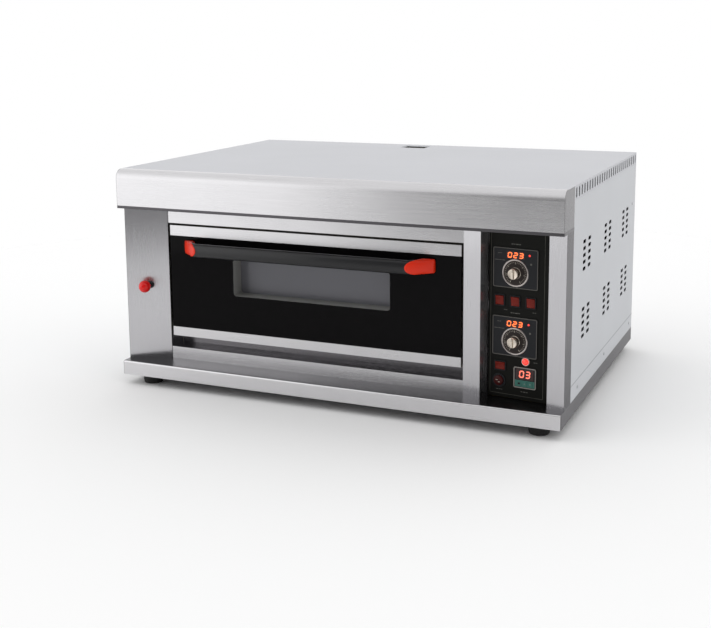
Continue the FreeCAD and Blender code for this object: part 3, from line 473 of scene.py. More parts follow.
def tube(rings: np.ndarray, closed: bool = False) -> Skin:
    """A skin through rings of points, with its ends filled unless the rings close on themselves.

    Args:
        rings: Points as (ring, place on the ring, xyz).
        closed: Whether the last ring joins the first.

    Returns:
        The skin.
    """
    rows, columns = rings.shape[:2]
    faces = grid_faces(rows, columns, closed)
    if not closed:
        faces += [tuple(range(columns))[::-1], tuple(range((rows - 1) * columns, rows * columns))]
    return rings.reshape(-1, 3), faces


def rounded_outline(width: float, height: float, radius: float, per_corner: int = 6) -> np.ndarray:
    """A rectangle with quarter-circle corners: centre of each corner plus its radius at even angles.

    Args:
        width: Size along the first axis.
        height: Size along the second axis.
        radius: Corner radius.
        per_corner: Points on each corner.

    Returns:
        Points as (place, 2), counter-clockwise.
    """
    r = min(radius, width / 2 - 1e-4, height / 2 - 1e-4)
    angles = np.linspace(0.0, np.pi / 2, per_corner)
    signs = np.array([(1, 1), (-1, 1), (-1, -1), (1, -1)])
    centres = signs * np.array([width / 2 - r, height / 2 - r])
    turns = angles[None, :] + (np.arange(4) * np.pi / 2)[:, None]
    arcs = r * np.stack([np.cos(turns), np.sin(turns)], axis=-1)
    return (centres[:, None, :] + arcs).reshape(-1, 2)


def circle(radius: float, count: int) -> np.ndarray:
    """Points of a circle at even angles, as (place, 2)."""
    a = np.linspace(0.0, 2 * np.pi, count, endpoint=False)
    return radius * np.stack([np.cos(a), np.sin(a)], axis=-1)


@dataclass(frozen=True)
class Seat:
    """A place on the oven with two directions across it and one out of it.

    Attributes:
        origin: Where it is, in millimetres.
        across: Unit direction of the first coordinate.
        upward: Unit direction of the second coordinate.
    """

    origin: np.ndarray
    across: np.ndarray
    upward: np.ndarray

    @property
    def outward(self) -> np.ndarray:
        """Unit direction that leaves the surface."""
        return np.cross(self.across, self.upward)

    def at(self, across: float, upward: float, outward: float = 0.0) -> "Seat":
        """Returns the same directions about a shifted place."""
        shifted = self.origin + across * self.across + upward * self.upward + outward * self.outward
        return Seat(shifted, self.across, self.upward)

    def place(self, points: np.ndarray) -> np.ndarray:
        """Turns points in (across, upward, outward) into points of the oven."""
        axes = np.stack([self.across, self.upward, self.outward])
        return self.origin + np.asarray(points, dtype=float) @ axes

    def stack(self, outlines: Sequence[np.ndarray], heights: Sequence[float]) -> Skin:
        """A closed skin through outlines at heights above the seat.

        Args:
            outlines: Outlines with the same number of points, as (place, 2).
            heights: Height of each outline.

        Returns:
            The skin.
        """
        rings = [np.column_stack([o, np.full(len(o), h)]) for o, h in zip(outlines, heights)]
        return tube(self.place(np.array(rings)))

    def turned(self, profile: Sequence[tuple[float, float]], count: int = 48) -> Skin:
        """A turned piece: the radius of each profile point swept round the outward axis.

        Args:
            profile: Pairs of radius and height.
            count: Points round the axis.

        Returns:
            The skin.
        """
        return self.stack([circle(max(r, 1e-3), count) for r, _ in profile], [h for _, h in profile])

    def slab(self, width: float, height: float, radius: float, low: float, high: float, edge: float) -> Skin:
        """A rounded plate whose front edge is eased by a small quarter round.

        Args:
            width: Size across.
            height: Size upward.
            radius: Corner radius.
            low: Height of the back.
            high: Height of the front.
            edge: Radius of the eased edge.

        Returns:
            The skin.
        """
        steps = np.linspace(0.0, np.pi / 2, 4)
        insets = np.concatenate([[0.0], edge * (1 - np.cos(steps))])
        heights = np.concatenate([[low], high - edge + edge * np.sin(steps)])
        outlines = [rounded_outline(width - 2 * i, height - 2 * i, max(radius - i, 0.2)) for i in insets]
        return self.stack(outlines, heights)

    def frame(self, outer: np.ndarray, inner: np.ndarray, low: float, high: float, edge: float = 0.4) -> Skin:
        """A flat ring between two outlines, with eased front edges.

        Args:
            outer: Outer outline, as (place, 2).
            inner: Inner outline with as many points.
            low: Height of the back.
            high: Height of the front.
            edge: Width of the bevels.

        Returns:
            The skin.
        """
        toward = (inner - outer) / np.maximum(np.linalg.norm(inner - outer, axis=1, keepdims=True), 1e-6)
        flat = [outer, outer, outer + toward * edge, inner - toward * edge, inner, inner]
        heights = [low, high - edge, high, high, high - edge, low]
        rings = [np.column_stack([o, np.full(len(o), h)]) for o, h in zip(flat, heights)]
        return tube(self.place(np.array(rings)), closed=True)


def merged(skins: Sequence[Skin]) -> Skin:
    """Several skins as one, with their point numbers moved on."""
    points, faces, start = [], [], 0
    for vertices, quads in skins:
        points.append(vertices)
        faces += [tuple(number + start for number in quad) for quad in quads]
        start += len(vertices)
    return np.concatenate(points), faces


def swept(path: np.ndarray, profile: np.ndarray, up: Sequence[float], closed: bool = True) -> Skin:
    """A profile carried along a path: its first axis points left of the way, its second along up.

    Args:
        path: Points as (place, 3).
        profile: Outline as (place, 2).
        up: Unit direction that stays up along the whole path.
        closed: Whether the path is a loop.

    Returns:
        The skin.
    """
    if closed:
        ahead = np.roll(path, -1, axis=0) - np.roll(path, 1, axis=0)
    else:
        ahead = np.gradient(path, axis=0)
    ahead /= np.linalg.norm(ahead, axis=1, keepdims=True)
    rise = np.asarray(up, dtype=float)
    left = np.cross(rise, ahead)
    left /= np.linalg.norm(left, axis=1, keepdims=True)
    rings = path[:, None, :] + profile[None, :, :1] * left[:, None, :] + profile[None, :, 1:] * rise
    return tube(rings, closed)


def oven_piece(
    name: str, skins: Sequence[Skin], material: bpy.types.Material, body: str,
    replaces: Sequence[str] = (), smooth_deg: float = 40.0,
) -> bpy.types.Object:
    """Makes one finished piece of the oven from its skins.

    Args:
        name: The piece's name.
        skins: Closed skins in millimetres.
        material: Its finish.
        body: The moving body it rides on.
        replaces: Frame nodes that it stands for.
        smooth_deg: Edges flatter than this are shaded smooth.

    Returns:
        The piece.
    """
    points, faces = merged(skins)
    mesh = bpy.data.meshes.new(name)
    mesh.from_pydata((points * MM).tolist(), [], faces)
    shell = bmesh.new()
    shell.from_mesh(mesh)
    bmesh.ops.recalc_face_normals(shell, faces=shell.faces)
    shell.to_mesh(mesh)
    shell.free()
    mesh.polygons.foreach_set("use_smooth", np.ones(len(mesh.polygons), dtype=bool))
    mesh.set_sharp_from_angle(angle=math.radians(smooth_deg))
    mesh.materials.append(material)
    piece = bpy.data.objects.new(name, mesh)
    bpy.context.scene.collection.objects.link(piece)
    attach(piece, body)
    if replaces:
        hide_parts(*replaces)
    LOG.info("%s: %d faces on %s", name, len(mesh.polygons), body)
    return piece


def dress(material: bpy.types.Material, *nodes: str) -> None:
    """Gives frame nodes a finish."""
    for node in nodes:
        mesh = frame["nodes"][node].data
        mesh.materials.clear()
        mesh.materials.append(material)
        LOG.info("%s dressed in %s", node, material.name)


def node_box(node: str) -> tuple[np.ndarray, np.ndarray]:
    """A frame node's lowest and highest corner in millimetres."""
    low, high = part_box(node)
    return np.array(low) / MM, np.array(high) / MM


def front_seat(low: np.ndarray, high: np.ndarray, y: float) -> Seat:
    """A seat that looks out of the oven's front, at a box's middle and at this Y."""
    x, _, z = (low + high) / 2
    return Seat(np.array([x, y, z]), RIGHT, UP)


def joint(name: str) -> dict:
    """The record's joint with this name."""
    return next(j for j in frame["joints"] if j["name"] == name)


# ---------------------------------------------------------------- studio
@dataclass
class Studio:
    """Pale floor, soft light and the camera.

    Attributes:
        eye: Camera place in metres.
        yaw_deg: How far the camera is turned from the oven's depth towards its left.
        pitch_deg: How far it looks down.
        roll_deg: How far it leans.
        lens_mm: Focal length on a 36 mm sensor.
        rise: Vertical lens shift, as a share of the frame's width.
        floor_r: Radius of the floor in metres.
        wall: Brightness of the studio's walls and ceiling.
        bright_wall: Direction, reach in degrees and added brightness of the left wall's window.
        doorway: The same of the unlit doorway in front.
    """

    eye: tuple[float, float, float] = (1.2172, -2.9957, 0.962)
    yaw_deg: float = 23.78
    pitch_deg: float = 9.37
    roll_deg: float = -0.5
    lens_mm: float = 58.48
    rise: float = -0.1336
    floor_r: float = 2.5
    wall: float = 1.08
    bright_wall: tuple = ((-0.90, -0.44, 0.0), (36.0, 46.0), 0.5)
    doorway: tuple = ((0.40, -1.0, 0.0), (41.0, 50.0), -0.85)

    def camera(self) -> None:
        """Makes the camera: forward from yaw and pitch, then rolled about that direction."""
        yaw, pitch, roll = (math.radians(a) for a in (self.yaw_deg, self.pitch_deg, self.roll_deg))
        across = Vector((math.cos(yaw), math.sin(yaw), 0.0))
        ahead = Vector((-math.sin(yaw) * math.cos(pitch), math.cos(yaw) * math.cos(pitch), -math.sin(pitch)))
        above = across.cross(ahead)
        right = across * math.cos(roll) + above * math.sin(roll)
        up = above * math.cos(roll) - across * math.sin(roll)
        data = bpy.data.cameras.new("studio_camera")
        data.lens, data.sensor_width, data.shift_y = self.lens_mm, 36.0, self.rise
        data.clip_end = 100.0
        camera = bpy.data.objects.new("studio_camera", data)
        camera.matrix_world = Matrix.Translation(self.eye) @ Matrix((right, up, -ahead)).transposed().to_4x4()
        bpy.context.scene.collection.objects.link(camera)
        bpy.context.scene.camera = camera

    def floor(self) -> None:
        """Makes the pale floor: a flat disc round the oven."""
        rim = np.column_stack([circle(self.floor_r, 128), np.zeros(128)])
        mesh = bpy.data.meshes.new("studio_floor")
        mesh.from_pydata(rim.tolist(), [], [tuple(range(len(rim)))])
        floor = bpy.data.objects.new("studio_floor", mesh)
        bpy.context.scene.collection.objects.link(floor)
        paint = bpy.data.materials.new("matt_white_floor")
        paint.use_nodes = True
        shader = paint.node_tree.nodes["Principled BSDF"]
        shader.inputs["Base Color"].default_value = hex_colour("#fbfbfb")
        shader.inputs["Roughness"].default_value = 0.95
        shader.inputs["Specular IOR Level"].default_value = 0.0
        mesh.materials.append(paint)

    def patch(
        self, tree: bpy.types.NodeTree, way: Sequence[float], reach_deg: tuple[float, float], depth: float
    ) -> bpy.types.NodeSocket:
        """A soft round patch of the surround: smooth steps of the cosine of the angle to its middle.

        Args:
            tree: The surround's node tree.
            way: Direction of the patch's middle.
            reach_deg: Angles from the middle at which it is full and at which it has faded out.
            depth: Its value where it is full.

        Returns:
            The patch's value.
        """
        ray = add_node(tree, "ShaderNodeTexCoord").outputs["Generated"]
        middle = tuple(Vector(way).normalized())
        cosine = add_node(tree, "ShaderNodeVectorMath", {0: ray, 1: middle}, operation="DOT_PRODUCT")
        full, faded = (math.cos(math.radians(a)) for a in reach_deg)
        limits = {"Value": cosine.outputs["Value"], "From Min": faded, "From Max": full, "To Max": depth}
        return add_node(tree, "ShaderNodeMapRange", limits, interpolation_type="SMOOTHSTEP").outputs["Result"]

    def lights(self) -> None:
        """Makes a surround of white studio walls, with a brighter left one and a dim doorway in front."""
        world = bpy.data.worlds.new("white_studio")
        bpy.context.scene.world = world
        world.use_nodes = True
        tree = world.node_tree
        background = tree.nodes["Background"]
        level = self.wall
        for way, reach, depth in (self.bright_wall, self.doorway):
            value = self.patch(tree, way, reach, depth)
            level = add_node(tree, "ShaderNodeMath", {0: value, 1: level}, operation="ADD").outputs[0]
        tree.links.new(level, background.inputs["Strength"])
        background.inputs["Color"].default_value = WHITE
        plain = add_node(tree, "ShaderNodeBackground", {"Color": WHITE, "Strength": 1.0})
        seen = add_node(tree, "ShaderNodeLightPath").outputs["Is Camera Ray"]
        both = {0: seen, 1: background.outputs[0], 2: plain.outputs[0]}
        mixed = add_node(tree, "ShaderNodeMixShader", both)
        tree.links.new(mixed.outputs[0], tree.nodes["World Output"].inputs["Surface"])

    def build(self) -> None:
        """Makes everything that isn't the oven."""
        bpy.context.scene.view_settings.view_transform = "Standard"
        self.camera()
        self.floor()
        self.lights()


# ---------------------------------------------------------------- control panel
class Segment(Enum):
    """A bar of a lit digit: its middle as shares of half the width and height, and whether it stands up."""

    TOP = (0.0, 1.0, False)
    MIDDLE = (0.0, 0.0, False)
    BOTTOM = (0.0, -1.0, False)
    TOP_LEFT = (-1.0, 0.5, True)
    TOP_RIGHT = (1.0, 0.5, True)
    LOW_LEFT = (-1.0, -0.5, True)
    LOW_RIGHT = (1.0, -0.5, True)


DIGIT_BARS: dict[str, tuple[Segment, ...]] = {
    "0": (
        Segment.TOP, Segment.BOTTOM, Segment.TOP_LEFT, Segment.TOP_RIGHT, Segment.LOW_LEFT, Segment.LOW_RIGHT,
    ),
    "2": (Segment.TOP, Segment.MIDDLE, Segment.BOTTOM, Segment.TOP_RIGHT, Segment.LOW_LEFT),
    "3": (Segment.TOP, Segment.MIDDLE, Segment.BOTTOM, Segment.TOP_RIGHT, Segment.LOW_RIGHT),
}


@dataclass(frozen=True)
class LitDigits:
    """A row of seven-bar digits, each bar a long hexagon with pointed ends, leaning a little to the right.

    Attributes:
        text: The digits shown.
        width: Width of one digit, between the middles of its upright bars.
        height: Height of one digit, between the middles of its top and bottom bars.
        pitch: Distance from one digit to the next.
        stroke: Width of a bar.
        lean: How far the top leans, as a share of the height.
        gap: Gap between two bars that meet.
        thick: How far the bars stand out.
    """

    text: str
    width: float
    height: float
    pitch: float
    stroke: float
    lean: float = 0.09
    gap: float = 0.5
    thick: float = 0.25

    def bar(self, seat: Seat, middle: float, segment: Segment) -> Skin:
        """One bar: a hexagon about its own middle, then leaned.

        Args:
            seat: The display's middle.
            middle: Where the digit's middle is across the display.
            segment: Which bar.

        Returns:
            The bar's skin.
        """
        across, up, stands = segment.value
        half = self.stroke / 2
        reach = ((self.height / 2 if stands else self.width) - self.gap) / 2
        run = np.array([reach, reach - half, half - reach, -reach, half - reach, reach - half])
        side = half * np.array([0, 1, 1, 0, -1, -1])
        outline = np.column_stack([-side, run] if stands else [run, side])
        outline += [across * self.width / 2, up * self.height / 2]
        outline[:, 0] += middle + self.lean * outline[:, 1]
        return seat.stack([outline, outline], [0.0, self.thick])

    def skins(self, seat: Seat) -> list[Skin]:
        """All bars of all digits about the seat's middle."""
        first = -(len(self.text) - 1) * self.pitch / 2
        return [
            self.bar(seat, first + i * self.pitch, segment)
            for i, digit in enumerate(self.text)
            for segment in DIGIT_BARS[digit]
        ]


@dataclass
class ControlPanel:
    """The slanted black plate with two thermostats, four rockers, an alarm button, a lamp and a timer.

    Places on it are (t, z): t along the plate from the bay's inner corner, z up from the floor.

    Attributes:
        finish: Finishes by name.
        dial_t: Where both dials are along the plate.
        dial_drop: How far a dial is below the middle of its case.
        face: How far the cases stand out of the plate.
        case_size: Width and height of a thermostat case.
        ring_r: Outer radius of the dial's ring.
        face_r: Radius of the printed dial face.
        knob_r: Radius of the knob at its foot.
        knob_out: How far the knob's cap is out of the plate.
        shaft_in: How far the knob's shaft reaches behind the plate.
        display_rise: How far the digit window is above the middle of the case.
        rocker_tilt: How far a rocker leans at rest, in degrees.
        rockers: The rockers' moving bodies, in the order of their frame nodes.
        heat_paddle: Width and height of a heat rocker.
        light_paddle: Width and height of the light rocker.
        timer_at: Middle of the timer.
        timer_size: Width and height of the timer.
        border: Left, right, lower and upper edge of the plate's printed border.
        ink: Thickness of the screen print.
        word_gap: Gap between the bars of a printed word.
        sunk: How far fixed pieces are let in to the surface below them.
    """

    finish: dict[str, bpy.types.Material]
    dial_t: float = 124.0
    dial_drop: float = 11.5
    face: float = 2.5
    case_size: tuple[float, float] = (116.0, 98.0)
    ring_r: float = 34.5
    face_r: float = 29.5
    knob_r: float = 14.5
    knob_out: float = 20.1
    shaft_in: float = 23.0
    display_rise: float = 32.0
    rocker_tilt: float = 7.0
    rockers: tuple[str, ...] = ("heat_rocker_1", "heat_rocker_2", "heat_rocker_3", "light_rocker")
    heat_paddle: tuple[float, float] = (21.0, 22.0)
    light_paddle: tuple[float, float] = (25.0, 18.0)
    timer_at: tuple[float, float] = (152.0, 123.0)
    timer_size: tuple[float, float] = (58.0, 52.0)
    border: tuple[float, float, float, float] = (59.0, 198.5, 75.0, 484.0)
    ink: float = 0.15
    word_gap: float = 1.6
    sunk: float = -0.3

    def seat(self, t: float, z: float, outward: float = 0.0) -> Seat:
        """The plate's directions about a place on it.

        Args:
            t: Distance along the plate.
            z: Height above the floor.
            outward: Distance out of the plate.

        Returns:
            The seat.
        """
        dial = joint("upper_dial_turn")
        inwards = np.array(dial["axis"])
        along = np.array([inwards[1], -inwards[0], 0.0])
        origin = np.array(dial["pos_m"]) / MM
        return Seat(origin, along, UP).at(t - self.dial_t, z - origin[2], outward)

    def dial_height(self, name: str) -> float:
        """Height of a dial's axis above the floor."""
        return joint(f"{name}_dial_turn")["pos_m"][2] / MM

    def outline_ring(
        self, seat: Seat, size: tuple[float, float], radius: float, width: float, high: float
    ) -> Skin:
        """A raised line round a rounded rectangle.

        Args:
            seat: The rectangle's middle.
            size: Width and height.
            radius: Corner radius.
            width: Width of the line.
            high: How far it stands out.

        Returns:
            The ring's skin.
        """
        outer = rounded_outline(*size, radius)
        inner = rounded_outline(size[0] - 2 * width, size[1] - 2 * width, max(radius - width, 0.5))
        return seat.frame(outer, inner, self.sunk, high, min(0.35, width / 3))

    def dashes(self, t: float, z: float, lengths: Sequence[float], high: float, outward: float) -> list[Skin]:
        """A row of small bars that stands in for a printed word.

        Args:
            t: Middle of the row along the plate.
            z: Height of the row.
            lengths: Length of each bar.
            high: Height of the bars.
            outward: How far out the surface is.

        Returns:
            One skin per bar.
        """
        starts = np.cumsum([0.0, *[length + self.word_gap for length in lengths[:-1]]])
        first = t - (starts[-1] + lengths[-1]) / 2
        low, top, edge = outward - 0.2, outward + self.ink, self.ink / 3
        return [
            self.seat(first + start + length / 2, z).slab(length, high, 0.3, low, top, edge)
            for start, length in zip(starts, lengths)
        ]

    def print_on_plate(self) -> None:
        """The border line and the rows of marks above and below the instruments."""
        left, right, low, top = self.border
        middle = self.seat((left + right) / 2, (low + top) / 2)
        line = self.outline_ring(middle, (right - left, top - low), 3.0, 1.1, self.ink)
        oven_piece("plate_border", [line], self.finish["border"], "casing")
        title_rise = self.dial_drop + self.case_size[1] / 2 + 9.5
        words = [
            (self.dial_t, self.dial_height(name) + title_rise, (5.0, 3.2, 7.0, 4.0), 2.2)
            for name in ("upper", "lower")
        ]
        words += [
            (99.0, 287.0, (4.0, 3.0), 1.6), (173.0, 287.0, (4.0, 3.0), 1.6),
            (84.0, 85.5, (6.0, 4.0, 3.0), 1.8), (150.0, 87.0, (4.0, 7.0, 4.0), 1.8),
            (178.0, 164.0, (5.0, 3.0), 1.6),
        ]
        rows = [bar for word in words for bar in self.dashes(*word, 0.0)]
        oven_piece("plate_marks", rows, self.finish["faint_print"], "casing")

    def dial_ring(self, seat: Seat) -> Skin:
        """A half-round metal ring: a circle of radius r carries an arch from its inner to its outer edge."""
        low = self.face - 0.4
        middle, half = (self.ring_r + self.face_r) / 2, (self.ring_r - self.face_r) / 2
        a = np.linspace(0.0, np.pi, 9)
        radii = np.concatenate([[middle + half], middle + half * np.cos(a), [middle - half]])
        heights = np.concatenate([[low], self.face + 1.8 * np.sin(a) + 0.2, [low]])
        rings = [np.column_stack([circle(r, 72), np.full(72, h)]) for r, h in zip(radii, heights)]
        return tube(seat.place(np.array(rings)), closed=True)

    def graduations(self, seat: Seat) -> list[Skin]:
        """Thirty-one ticks over 300 degrees, every fifth one longer, round the printed face."""
        skins = []
        for i, angle in enumerate(np.radians(np.linspace(-60.0, 240.0, 31))):
            inner = self.face_r - (7.5 if i % 5 == 0 else 5.0)
            outer, half = self.face_r - 2.0, 0.45 if i % 5 == 0 else 0.3
            turn = np.array([[np.cos(angle), np.sin(angle)], [-np.sin(angle), np.cos(angle)]])
            tick = np.array([(inner, -half), (outer, -half), (outer, half), (inner, half)]) @ turn
            skins.append(seat.stack([tick, tick], [self.face + 0.4, self.face + 0.75]))
        return skins

    def knob(self, seat: Seat) -> list[Skin]:
        """A fluted knob: radius plus a small cosine of the angle, with a grip across its dished cap."""
        angles = np.linspace(0.0, 2 * np.pi, 144, endpoint=False)
        flutes = 0.35 * np.cos(24 * angles)
        unit = np.column_stack([np.cos(angles), np.sin(angles)])
        foot, cap, r = self.face + 0.6, self.knob_out, self.knob_r
        profile = [
            (r, foot, 0.0), (r, foot + 1.6, 0.0), (r - 0.9, foot + 2.4, 0.0),
            (r - 1.1, foot + 3.2, 1.0), (r - 1.5, cap - 1.2, 1.0), (r - 2.1, cap - 0.3, 0.5),
            (r - 3.0, cap, 0.0), (r - 5.0, cap - 0.5, 0.0), (1.0, cap - 0.5, 0.0),
        ]
        outlines = [unit * (radius + flutes * depth)[:, None] for radius, _, depth in profile]
        body = seat.stack(outlines, [height for _, height, _ in profile])
        grip = seat.slab(5.2, 2 * r - 5.0, 2.4, cap - 1.0, cap + 3.0, 1.2)
        shaft = seat.turned([(3.0, -self.shaft_in), (3.0, foot)], 24)
        return [body, grip, shaft]

    def thermostats(self) -> None:
        """Frame line, ring, printed face, graduations, digits, marks, heating light, knob and pointer of both
        thermostats.
        """
        frames, rings, faces, ticks, digits, marks, dots = [], [], [], [], [], [], []
        for name in ("upper", "lower"):
            z = self.dial_height(name)
            dial, case_z = self.seat(self.dial_t, z), z + self.dial_drop
            case = self.seat(self.dial_t, case_z, self.face)
            frames.append(self.outline_ring(case, self.case_size, 4.0, 2.2, 0.7))
            rings.append(self.dial_ring(dial))
            disc = [(self.face_r + 0.5, self.face - 0.2), (self.face_r + 0.5, self.face + 0.4)]
            faces.append(dial.turned(disc, 72))
            ticks += self.graduations(dial)
            display = self.seat(self.dial_t, case_z + self.display_rise, self.face + 0.42)
            digits += LitDigits("023", 8.6, 11.4, 14.6, 2.2).skins(display)
            marks += self.dashes(83.0, case_z + 35.0, (4.0, 3.0), 1.6, self.face)
            marks += self.dashes(84.0, case_z + 18.0, (9.0, 6.0, 8.0), 1.5, self.face)
            marks += self.dashes(164.0, case_z + 13.0, (4.5,), 4.5, self.face)
            light = self.seat(self.dial_t + 36.0, case_z + 34.0, self.face)
            dots.append(light.turned([(2.6, self.sunk), (2.6, 0.3), (1.8, 0.9), (0.6, 1.2)], 20))
            oven_piece(
                f"{name}_thermostat_knob", self.knob(dial), self.finish["dial_knob"], f"{name}_dial",
                [f"{name}_dial_knob"], 30.0,
            )
            grip = dial.at(0.0, self.knob_r - 6.5, self.knob_out + 3.0)
            line = grip.slab(1.0, 6.0, 0.3, -0.2, 0.1, 0.05)
            oven_piece(f"{name}_knob_pointer", [line], self.finish["case"], f"{name}_dial")
        oven_piece("thermostat_frames", frames, self.finish["case_line"], "casing")
        oven_piece("dial_rings", rings, self.finish["dial_ring"], "casing")
        oven_piece("dial_faces", faces, self.finish["dial_face"], "casing")
        oven_piece("dial_graduations", ticks, self.finish["print"], "casing")
        oven_piece("temperature_digits", digits, self.finish["digits"], "casing")
        oven_piece("thermostat_marks", marks, self.finish["faint_print"], "casing")
        oven_piece("heating_lights", dots, self.finish["lens"], "casing")

    def rocker(self, name: str, size: tuple[float, float]) -> None:
        """A rocker whose face is a shallow trough: depth follows a circle's arc from its top to its bottom.

        Args:
            name: Its moving body.
            size: Width and height of the paddle.
        """
        turn = joint(f"{name}_tilt")
        seat = self.seat(self.dial_t, 0.0)
        lean = math.radians(self.rocker_tilt)
        upward = seat.upward * math.cos(lean) + seat.outward * math.sin(lean)
        pivot = Seat(np.array(turn["pos_m"]) / MM, seat.across, upward)
        width, height = size
        run = np.linspace(-1.0, 1.0, 17)
        trough = 4.2 - 1.3 * (1.0 - run**2)
        ends = np.clip((1.0 - np.abs(run)) / 0.06, 0.0, 1.0)
        front = np.column_stack([run * height / 2, trough - 0.8 * (1.0 - ends)])
        side = np.concatenate([front, [(height / 2, -2.6), (-height / 2, -2.6)]])
        insets = ((-width / 2, 0.6), (-width / 2 + 0.6, 0.0), (width / 2 - 0.6, 0.0), (width / 2, 0.6))
        rings = []
        for across, inset in insets:
            run, out = side[:, 0] * (1.0 - 2 * inset / height), side[:, 1] - inset
            rings.append(np.column_stack([np.full(len(side), across), run, out]))
        paddle = tube(pivot.place(np.array(rings)))
        pin_reach, pin_points = width / 2 + 1.0, 16
        pin_ends = [
            np.column_stack([np.full(pin_points, x), circle(1.5, pin_points)])
            for x in (-pin_reach, pin_reach)
        ]
        pin = tube(pivot.place(np.array(pin_ends)))
        node = f"rocker_{self.rockers.index(name) + 1}"
        oven_piece(f"{name}_paddle", [paddle, pin], self.finish["rocker"], name, [node], 50.0)

    def switches(self) -> None:
        """The rockers, with a thin bevelled frame round each."""
        frames = []
        for name in self.rockers:
            width, height = self.light_paddle if name == "light_rocker" else self.heat_paddle
            self.rocker(name, (width, height))
            place = np.array(joint(f"{name}_tilt")["pos_m"]) / MM
            seat = self.seat(self.dial_t, place[2])
            t = self.dial_t + float((place - seat.origin) @ seat.across)
            outer = rounded_outline(width + 6.0, height + 7.0, 2.5)
            inner = rounded_outline(width + 1.6, height + 2.6, 1.2)
            frames.append(self.seat(t, place[2], self.face).frame(outer, inner, self.sunk, 0.6, 0.5))
        oven_piece("switch_frames", frames, self.finish["case"], "casing")

    def alarm_and_lamp(self) -> None:
        """The domed alarm button with its two marks, and the lit lamp in its bright ring."""
        low, high = node_box("alarm_button")
        seat = self.seat(84.0, (low[2] + high[2]) / 2)
        radius = (high[2] - low[2]) / 2
        dome = [(radius - 2.0, -14.0), (radius - 2.0, 2.0), (radius, 2.6), (radius, 5.6)]
        a = np.linspace(0.0, np.pi / 2, 8)[1:]
        dome += [(radius * math.cos(s), 5.6 + 2.0 * math.sin(s)) for s in a]
        button = [seat.turned(dome)]
        oven_piece("alarm_button_dome", button, self.finish["alarm"], "alarm", ["alarm_button"])
        marks = [
            seat.at(across, up).slab(long, 1.3, 0.4, 6.5, 7.75, 0.1)
            for across, up, long in ((-3.5, 2.0, 6.0), (2.5, -3.0, 5.0))
        ]
        oven_piece("alarm_button_marks", marks, self.finish["print"], "alarm")
        low, high = node_box("indicator_lamp")
        lamp, radius = self.seat(153.0, (low[2] + high[2]) / 2), (high[2] - low[2]) / 2
        lens = [(radius - 2.5, -20.0), (radius - 2.5, 0.5), (radius - 1.6, 1.0), (radius - 1.6, 3.0)]
        lens += [((radius - 1.6) * math.cos(s), 3.0 + 3.4 * math.sin(s)) for s in a]
        dome = [lamp.turned(lens)]
        oven_piece("lamp_lens", dome, self.finish["lens"], "casing", ["indicator_lamp"])
        ring = lamp.frame(circle(radius + 0.8, 40), circle(radius - 1.5, 40), -0.2, 2.6, 0.5)
        oven_piece("lamp_ring", [ring], self.finish["lamp_ring"], "casing")

    def key_marks(self, t: float, z: float, pointing: int) -> list[Skin]:
        """A triangle that points up or down, or a square where pointing is nought."""
        outline = np.array([(-2.86, -2.34), (2.86, -2.34), (2.86, 2.34), (-2.86, 2.34)])
        if pointing:
            outline = np.array([(-2.6, -1.82), (2.6, -1.82), (0.0, 2.34)]) * [1, pointing]
        return [self.seat(t, z, self.face + 1.1).stack([outline, outline], [0.0, 0.3])]

    def timer(self) -> None:
        """The timer's bright frame, its key film with three raised keys, and its digits."""
        t, z = self.timer_at
        middle = self.seat(t, z, self.face)
        bezel = self.outline_ring(middle, self.timer_size, 4.0, 2.4, 1.0)
        oven_piece("timer_frame", [bezel], self.finish["timer_frame"], "casing")
        display = self.seat(t, z + 9.0, self.face + 0.42)
        oven_piece(
            "timer_digits", LitDigits("03", 9.8, 15.0, 16.0, 2.7).skins(display), self.finish["timer_digits"],
            "casing",
        )
        key_z, half, film_w = z - 14.5, 5.5, self.timer_size[0] - 7.0
        pitch, gap = 14.5, 0.35
        edges = [-film_w / 2]
        for i in (-1, 0, 1):
            edges += [i * pitch - half - gap, i * pitch + half + gap]
        edges.append(film_w / 2)
        film = [
            self.seat(t + (a + b) / 2, key_z, self.face).slab(b - a, 2 * half, 0.2, -0.3, 0.3, 0.1)
            for a, b in zip(edges[::2], edges[1::2])
        ]
        for rise in (half + 1.4, -half - 1.3):
            film.append(self.seat(t, key_z + rise, self.face).slab(film_w, 2.4, 0.5, -0.3, 0.3, 0.1))
        oven_piece("timer_key_film", film, self.finish["keys"], "casing")
        for i, (pointing, mark) in enumerate(((0, "case"), (1, "key_mark"), (-1, "key_mark"))):
            skins = self.key_marks(t + (i - 1) * pitch, key_z, pointing)
            oven_piece(f"key_{i + 1}_mark", skins, self.finish[mark], f"key_{i + 1}")

    def build(self) -> None:
        """Dresses the frame's panel nodes and adds the detailed pieces."""
        dress(self.finish["panel"], "control_plate")
        dress(self.finish["case"], "instrument_cases", "switch_housings")
        dress(self.finish["dial_knob"], "upper_dial_knob", "lower_dial_knob")
        dress(self.finish["screen"], "digit_windows")
        dress(self.finish["rocker"], "rocker_1", "rocker_2", "rocker_3", "rocker_4")
        dress(self.finish["alarm"], "alarm_button")
        dress(self.finish["lens"], "indicator_lamp")
        dress(self.finish["keys"], "timer_key_1", "timer_key_2", "timer_key_3")
        self.print_on_plate()
        self.thermostats()
        self.switches()
        self.alarm_and_lamp()
        self.timer()


# ---------------------------------------------------------------- door
def superellipse(half_y: float, half_z: float, power: float, count: int = 40) -> np.ndarray:
    """A rounded section: signed powers of the cosine and sine of even angles, as (place, 2).

    Args:
        half_y: Half its depth.
        half_z: Half its height.
        power: Two for an ellipse, more for squarer corners.
        count: Points round it.

    Returns:
        The section's outline.
    """
    a = np.linspace(0.0, 2 * np.pi, count, endpoint=False)
    unit = np.column_stack([np.cos(a), np.sin(a)])
    return np.array([half_y, half_z]) * np.sign(unit) * np.abs(unit) ** (2.0 / power)


